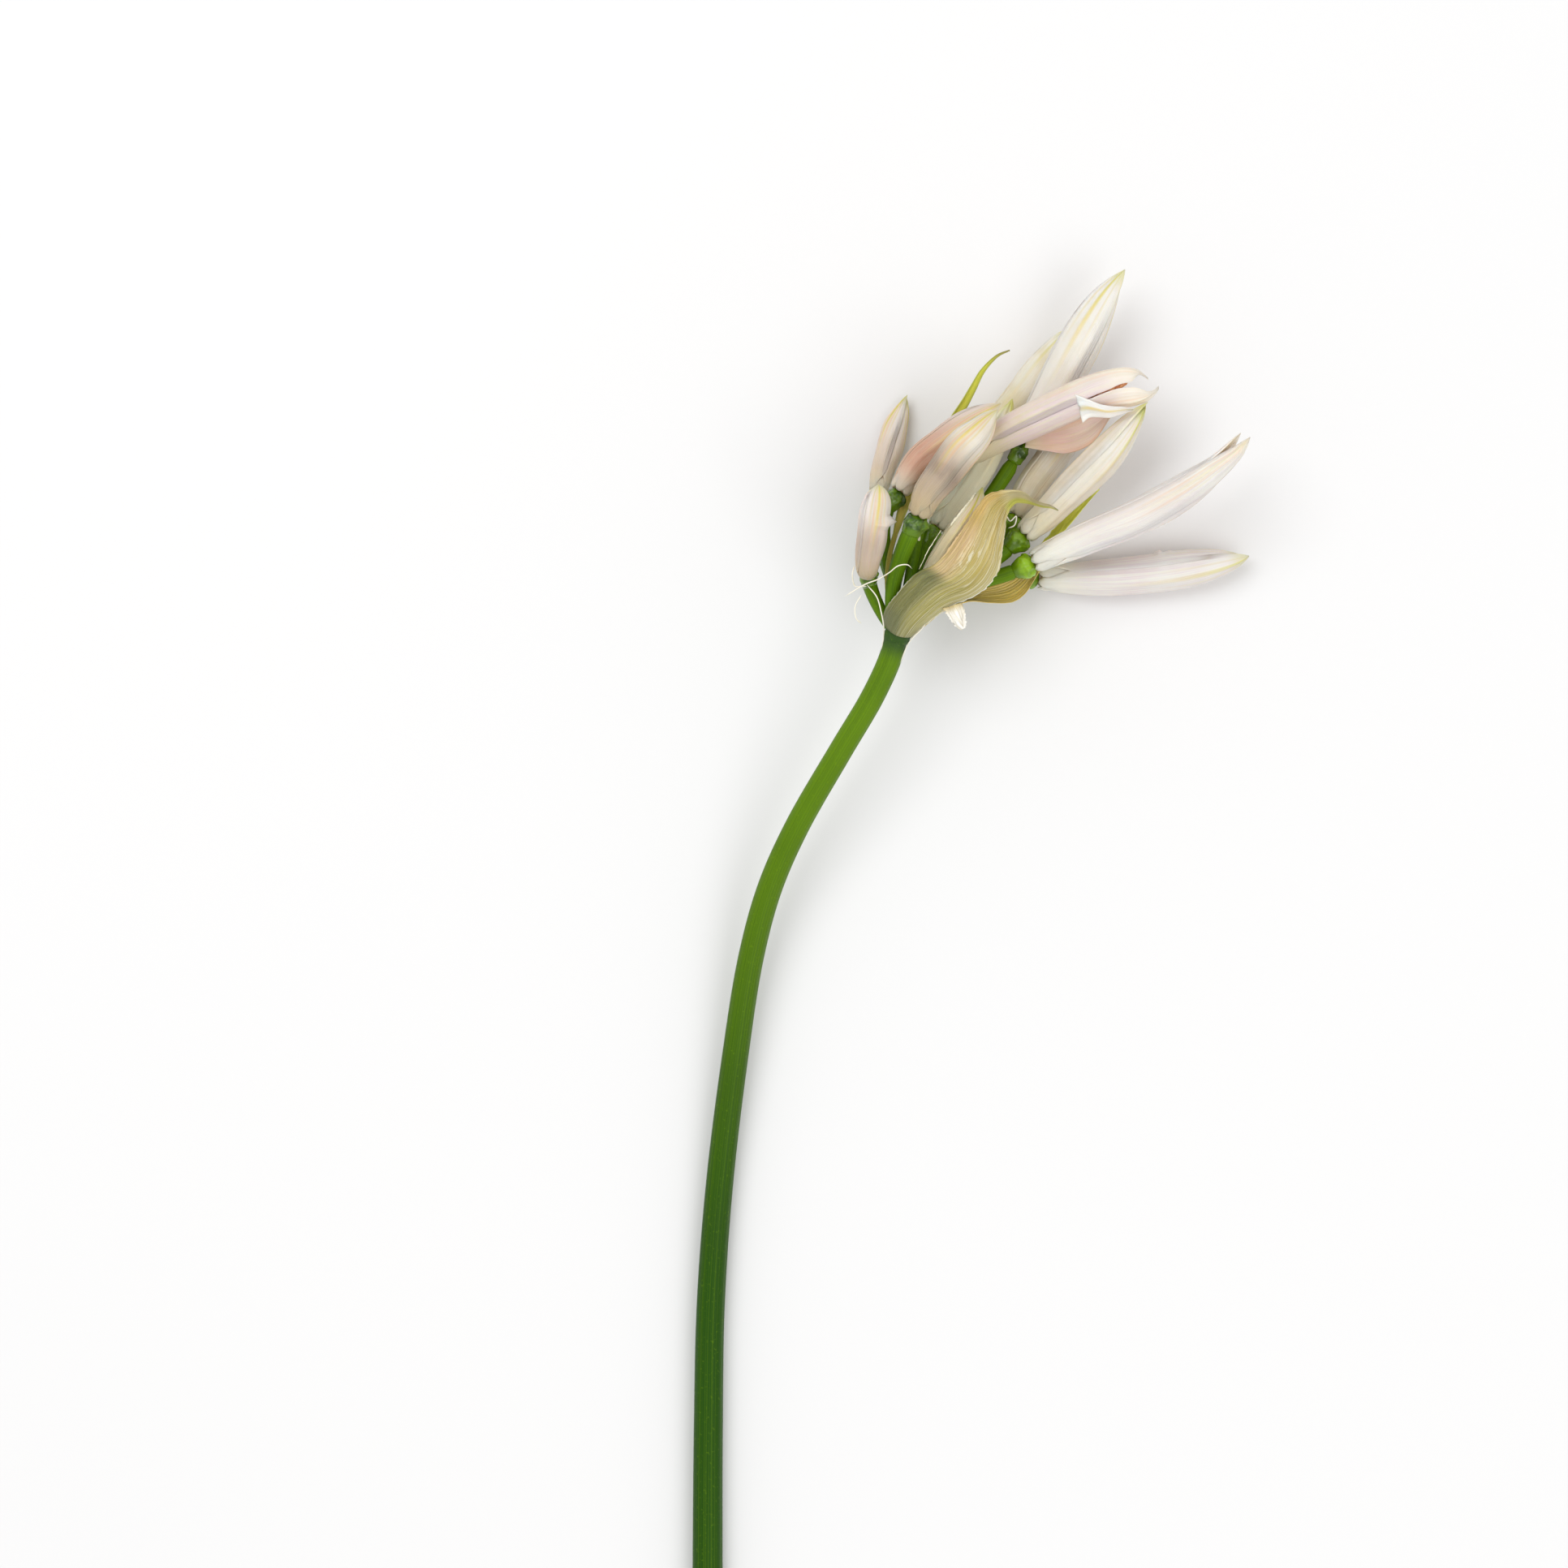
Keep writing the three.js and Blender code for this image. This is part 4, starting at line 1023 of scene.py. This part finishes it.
def add_pedicel(bm, bud, settings):
    """The stalk from the top of the scape into the ovary."""
    foot, heading = foot_of(bud)
    base = Vector(SCAPE_TOP) * MM
    end = foot - heading * (OVARY_LENGTH + SEAT_GAP - OVARY_SINK) * MM
    reach = (end - base).length
    leave = base + Vector(bud["lead"]).normalized() * reach * LEAVE_SHARE
    arrive = end - heading * reach * ARRIVE_SHARE

    def centre(share):
        rest = 1 - share
        bow = leave * (3 * rest * rest * share) + arrive * (3 * rest * share ** 2)
        return base * rest ** 3 + bow + end * share ** 3

    def place(angle, v):
        side, up = square_to((centre(min(v + 0.01, 1)) - centre(max(v - 0.01, 0))).normalized())
        radius = lerp(settings.pedicel_root_radius, settings.pedicel_radius, v) * bud.get("stalk", 1)
        radius *= (1 + 0.05 * math.cos(3 * angle)) * min(1.0, v / 0.001, (1 - v) / 0.08) ** 0.5
        return on_ring(centre(v), side, up, radius, angle)

    def marks(angle, v):
        return math.cos(angle) * 0.4, math.sin(angle) * 0.4, 0.8 + 0.15 * v

    roll_tube(bm, GRIDS["pedicel"], place, marks)


def build_scape(settings):
    """The scape with its cut end, the collar at its top, and each bud's pedicel and ovary."""
    bm = new_mesh("skin")
    route = Route([Vector(point) * MM for point in SCAPE_ROUTE])

    def scape_place(angle, v):
        share = (v - CUT_SHARE) / (1 - CUT_SHARE)
        centre, side, up = route.cross(share)
        taper = max(0.0, (share - TAPER_FROM) / (1 - TAPER_FROM))
        radius = lerp(settings.radius, settings.top_radius, taper) if v > CUT_SHARE else 0.0
        radius *= 1 + sum(height * math.cos(count * angle + turn) for height, count, turn in SCAPE_RIDGES)
        lift = max(radius * math.sin(angle), -REST_HEIGHT * MM)
        return centre + side * (radius * math.cos(angle)) + up * lift

    roll_tube(bm, GRIDS["scape"], scape_place)

    top = Vector(SCAPE_TOP) * MM
    collar = settings.collar_radius
    side, up = square_to(SCAPE_AXIS)
    step = collar / route.lengths[-1]

    def collar_place(angle, v):
        reach = collar * math.sin(math.pi * v) * (1 + 0.03 * math.cos(7 * angle))
        return on_ring(top - SCAPE_AXIS * (collar * math.cos(math.pi * v)), side, up, reach, angle)

    def collar_marks(angle, v):
        return math.cos(angle), math.sin(angle), 1 - step * math.cos(math.pi * v)

    roll_tube(bm, GRIDS["collar"], collar_place, collar_marks)
    for bud in (*BUDS, OPENING_BUD):
        add_pedicel(bm, bud, settings)
    skin_faces = len(bm.faces)
    for bud in (*BUDS, OPENING_BUD):
        add_ovary(bm, bud, settings)
    bm.faces.ensure_lookup_table()
    for face in bm.faces[skin_faces:]:
        face.material_index = 1
    bmesh.ops.recalc_face_normals(bm, faces=bm.faces)
    piece = finish_piece(bm, "scape_skin", [green_skin_paint(settings), ovary_paint(settings)])
    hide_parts("scape")


def build_bud(bud, seed, settings):
    bm = new_mesh("leaf")
    add_tepals(bm, bud, seed, settings)
    paint = petal_paint(bud["name"] + "_satin", bud["look"], settings)
    piece = finish_piece(bm, bud["name"] + "_tepals", [paint], settings.thickness)
    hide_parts(bud["name"])


def build_opening_bud(settings):
    """The bud with a slit: its tepals, the corner turned back, the hanging tepal and the orange inside."""
    bud = OPENING_BUD
    seed = len(BUDS) + 0.5
    bm = new_mesh("leaf")
    add_tepals(bm, bud, seed, settings)
    paints = [petal_paint(bud["name"] + "_satin", bud["look"], settings)]
    for number, part in enumerate((OPENING_CORNER, OPENING_HANGING), 1):
        crest = part["crest"] * MM

        def rise(u, v, crest=crest, number=number):
            wave = wrinkle(u, v, 2, 3, number * 5.3) * WAVE_HEIGHT * MM
            return crest * (1 - u * u) * (0.35 + 0.65 * math.sin(math.pi * v)) + wave

        lay_sheet(bm, GRIDS["free tepal"], arched_place(part, rise), seed + number, number)
        paints.append(petal_paint(part["name"], part["look"], settings))
    piece = finish_piece(bm, bud["name"] + "_tepals", paints, settings.thickness)
    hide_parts(bud["name"])

    bm = new_mesh("skin")
    route = Route(umbel(OPENING_ANTHER_IN_SHADE["axis"]))

    def anther_place(angle, v):
        centre, side, up = route.cross(v)
        radius = OPENING_ANTHER_IN_SHADE["radius"] * MM * math.sin(math.pi * v) ** 0.4
        return on_ring(centre, side, up * OPENING_ANTHER_IN_SHADE["flatness"], radius, angle)

    roll_tube(bm, GRIDS["anther"], anther_place)
    bmesh.ops.recalc_face_normals(bm, faces=bm.faces)
    inside = finish_piece(bm, "bud_opening_inside", [inside_paint(settings)])


def over_collar(place):
    """The same surface with its foot bowed down over the collar."""
    def bowed(u, v):
        return place(u, v) - SCAPE_AXIS * COLLAR_DIP * MM * (1 - u * u) * max(0.0, 1 - v / 0.12)
    return bowed


def frayed(place, height):
    """The same surface with ragged edges."""
    def ragged(u, v):
        rag = wrinkle(v, u, 46, 2, 0) + 0.6 * wrinkle(v, u, 110, 1, 4)
        return place(u * (1 + height * rag * abs(u) ** FRAY_POWER * soft_step(v, 0.02, 0.1)), v)
    return ragged


def build_spathe(settings):
    """The two papery valves, the torn end of the front one, and the white skins."""
    crumple, vein = settings.crumple, settings.vein

    def front_rise(u, v):
        flat = max(0.0, 1 - (v / FRONT_FLAT) ** 3) ** 0.8
        arch = settings.crest * min(1.0, 0.72 + v / FRONT_FLAT) * flat + 0.25 * MM
        folds = wrinkle(u, v, 1.9, 5, 3.1) + 0.6 * wrinkle(u, v, 5, 9, 7.7)
        ribs = math.sin(u * 46 + 4 * wrinkle(u, v, 2, 3, 1.3))
        quiet = soft_step(v, 0.0, 0.15) * soft_step(v, 1.0, 0.7)
        return arch * (1 - u * u) + (crumple * folds + vein * ribs) * quiet

    bm = new_mesh("leaf")
    front = frayed(arched_place(SPATHE_FRONT, front_rise), 0.05)
    lay_sheet(bm, GRIDS["front valve"], over_collar(front), 1.3)
    piece = finish_piece(bm, "spathe_front_valve", [front_valve_paint(settings)], settings.thickness)
    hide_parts("spathe_front")

    def rear_rise(u, v):
        arch = -REAR_CREST * MM * math.sin(math.pi * v) * soft_step(v, 0.72, 0.56)
        ribs = math.sin(u * 34 + 3 * wrinkle(u, v, 2, 3, 5.3))
        folds = wrinkle(u, v, 2.3, 4, 9.4)
        quiet = soft_step(v, 0.0, 0.1) * soft_step(v, 1.0, 0.85)
        return arch * (1 - u * u) + (1.4 * vein * ribs + 0.3 * crumple * folds) * quiet

    bm = new_mesh("leaf")
    lay_sheet(bm, GRIDS["rear valve"], frayed(arched_place(SPATHE_REAR, rear_rise), 0.04), 4.6)
    piece = finish_piece(bm, "spathe_rear_valve", [rear_valve_paint(settings)], settings.thickness)
    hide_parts("spathe_rear")

    def flap_rise(u, v):
        return 0.5 * MM * math.sin(u * 5 + v * 4) + 0.3 * MM * wrinkle(u, v, 3, 5, 2.2)

    bm = new_mesh("leaf")
    lay_sheet(bm, GRIDS["flap"], frayed(arched_place(SPATHE_FLAP, flap_rise), 0.25), 8.8)
    piece = finish_piece(bm, "spathe_torn_flap", [flap_paint(settings)], settings.thickness)

    bm = new_mesh("leaf")
    for number, skin in enumerate(SKINS):
        line = Route(umbel(skin["middle"]))

        def skin_place(u, v, line=line, skin=skin, number=number):
            centre, side, up = line.cross(v)
            half = skin["width"] * MM / 2 * (0.4 + 0.6 * math.sin(math.pi * v))
            crinkles = wrinkle(u, v, 1.5, 24, number * 3.3)
            return centre + side * (u * half * (1 + 0.5 * crinkles)) + up * (skin["crinkle"] * MM * crinkles)

        lay_sheet(bm, GRIDS["skin"], skin_place, number + 0.2)
    paint = thread_paint("skin_pale", settings.paper, settings.fleck)
    piece = finish_piece(bm, "spathe_skins", [paint], settings.thickness / 2)


def build_bracteole(settings):
    line = Route(umbel(BRACTEOLE["middle"]))

    def place(u, v):
        centre, side, up = line.cross(v)
        half = in_steps(v, BRACTEOLE["widths"]) * MM / 2
        return centre + side * (u * half) + up * (half * BRACTEOLE["cup"] * u * u)

    bm = new_mesh("leaf")
    lay_sheet(bm, GRIDS["strip"], place, 2.2)
    piece = finish_piece(bm, "bracteole_strip", [strip_paint(settings)], settings.thickness)


def build_threads(settings):
    bm = new_mesh("skin")
    for points in THREADS:
        route = Route(umbel(points))

        def place(angle, v, route=route):
            return on_ring(*route.cross(v), settings.radius * min(1.0, 12 * v, 12 * (1 - v)), angle)

        roll_tube(bm, GRIDS["thread"], place)
    bmesh.ops.recalc_face_normals(bm, faces=bm.faces)
    paint = thread_paint("thread_white", settings.colour, settings.fleck)
    piece = finish_piece(bm, "bracteole_threads", [paint])


def build_floor(settings):
    bm = bmesh.new()
    bmesh.ops.create_grid(bm, x_segments=4, y_segments=4, size=settings.floor_size / 2)
    mesh = bpy.data.meshes.new("floor")
    bm.to_mesh(mesh)
    bm.free()
    mesh.materials.append(floor_paint(tuple(settings.floor_colour)))
    add_object("floor", mesh)


def add_light(name, offset, power, settings):
    """A round area light that hangs at offset from the aim and faces it."""
    data = bpy.data.lights.new(name, "AREA")
    data.shape = "DISK"
    data.size = settings.light_size
    data.energy = power
    light = add_object(name, data)
    light.location = Vector(settings.aim) + Vector(offset)
    light.rotation_euler = (-Vector(offset)).to_track_quat("-Z", "Y").to_euler()


def build_studio(settings):
    scene = bpy.context.scene
    world = bpy.data.worlds.new("studio")
    world.use_nodes = True
    backdrop = world.node_tree.nodes["Background"]
    backdrop.inputs["Color"].default_value = (*settings.sky_colour, 1.0)
    backdrop.inputs["Strength"].default_value = settings.sky
    scene.world = world
    scene.view_settings.view_transform = "Standard"
    add_light("key", KEY_OFFSET, settings.key, settings)
    add_light("fill", FILL_OFFSET, settings.fill, settings)

    data = bpy.data.cameras.new("camera")
    data.lens = settings.lens
    data.clip_end = CAMERA_REACH
    distance = settings.view_width * settings.lens / data.sensor_width
    camera = add_object("camera", data)
    camera.location = Vector(settings.aim) + Vector((0, 0, distance))
    scene.camera = camera


class NERINE_OT_scape(bpy.types.Operator):
    """Make the scape with its collar, pedicels and ovaries"""

    bl_idname = "nerine.scape"
    bl_label = "Make Scape"

    def execute(self, context):
        build_scape(context.scene.nerine_scape)
        return {"FINISHED"}


class NERINE_OT_buds(bpy.types.Operator):
    """Make the twelve closed buds"""

    bl_idname = "nerine.buds"
    bl_label = "Make Closed Buds"

    def execute(self, context):
        for seed, bud in enumerate(BUDS):
            build_bud(bud, seed, context.scene.nerine_buds)
        return {"FINISHED"}


class NERINE_OT_opening_bud(bpy.types.Operator):
    """Make the bud that has begun to open"""

    bl_idname = "nerine.opening_bud"
    bl_label = "Make Opening Bud"

    def execute(self, context):
        build_opening_bud(context.scene.nerine_buds)
        return {"FINISHED"}


class NERINE_OT_spathe(bpy.types.Operator):
    """Make the two papery valves, the torn flap and the white skins"""

    bl_idname = "nerine.spathe"
    bl_label = "Make Spathe"

    def execute(self, context):
        build_spathe(context.scene.nerine_spathe)
        return {"FINISHED"}


class NERINE_OT_bracteoles(bpy.types.Operator):
    """Make the olive strip and the hair-fine threads"""

    bl_idname = "nerine.bracteoles"
    bl_label = "Make Bracteoles"

    def execute(self, context):
        build_bracteole(context.scene.nerine_spathe)
        build_threads(context.scene.nerine_threads)
        return {"FINISHED"}


class NERINE_OT_stage(bpy.types.Operator):
    """Make the floor, the lights and the camera"""

    bl_idname = "nerine.stage"
    bl_label = "Make Stage"

    def execute(self, context):
        build_floor(context.scene.nerine_stage)
        build_studio(context.scene.nerine_stage)
        return {"FINISHED"}


class NERINE_PT_panel(bpy.types.Panel):
    """Sizes and colours of the stem, and the buttons that make it"""

    bl_label = "Nerine"
    bl_idname = "NERINE_PT_panel"
    bl_space_type = "VIEW_3D"
    bl_region_type = "UI"
    bl_category = "Nerine"

    def draw(self, context):
        layout = self.layout
        for attribute, operators in SECTIONS:
            settings = getattr(context.scene, attribute)
            box = layout.box()
            for key in settings.__annotations__:
                box.prop(settings, key)
            for operator in operators:
                box.operator(operator)


SECTIONS = (
    ("nerine_stage", ("nerine.stage",)),
    ("nerine_scape", ("nerine.scape",)),
    ("nerine_buds", ("nerine.buds", "nerine.opening_bud")),
    ("nerine_spathe", ("nerine.spathe",)),
    ("nerine_threads", ("nerine.bracteoles",)),
)
SETTINGS = {
    "nerine_stage": NerineStageSettings,
    "nerine_scape": NerineScapeSettings,
    "nerine_buds": NerineBudSettings,
    "nerine_spathe": NerineSpatheSettings,
    "nerine_threads": NerineThreadSettings,
}
CLASSES = (
    *SETTINGS.values(),
    NERINE_OT_stage,
    NERINE_OT_scape,
    NERINE_OT_buds,
    NERINE_OT_opening_bud,
    NERINE_OT_spathe,
    NERINE_OT_bracteoles,
    NERINE_PT_panel,
)


def register():
    for cls in CLASSES:
        bpy.utils.register_class(cls)
    for attribute, group in SETTINGS.items():
        setattr(bpy.types.Scene, attribute, bpy.props.PointerProperty(type=group))


def unregister():
    for attribute in SETTINGS:
        delattr(bpy.types.Scene, attribute)
    for cls in reversed(CLASSES):
        bpy.utils.unregister_class(cls)


def main():
    register()
    bpy.ops.nerine.stage()
    bpy.ops.nerine.scape()
    bpy.ops.nerine.buds()
    bpy.ops.nerine.opening_bud()
    bpy.ops.nerine.spathe()
    bpy.ops.nerine.bracteoles()


if __name__ == "__main__":
    main()
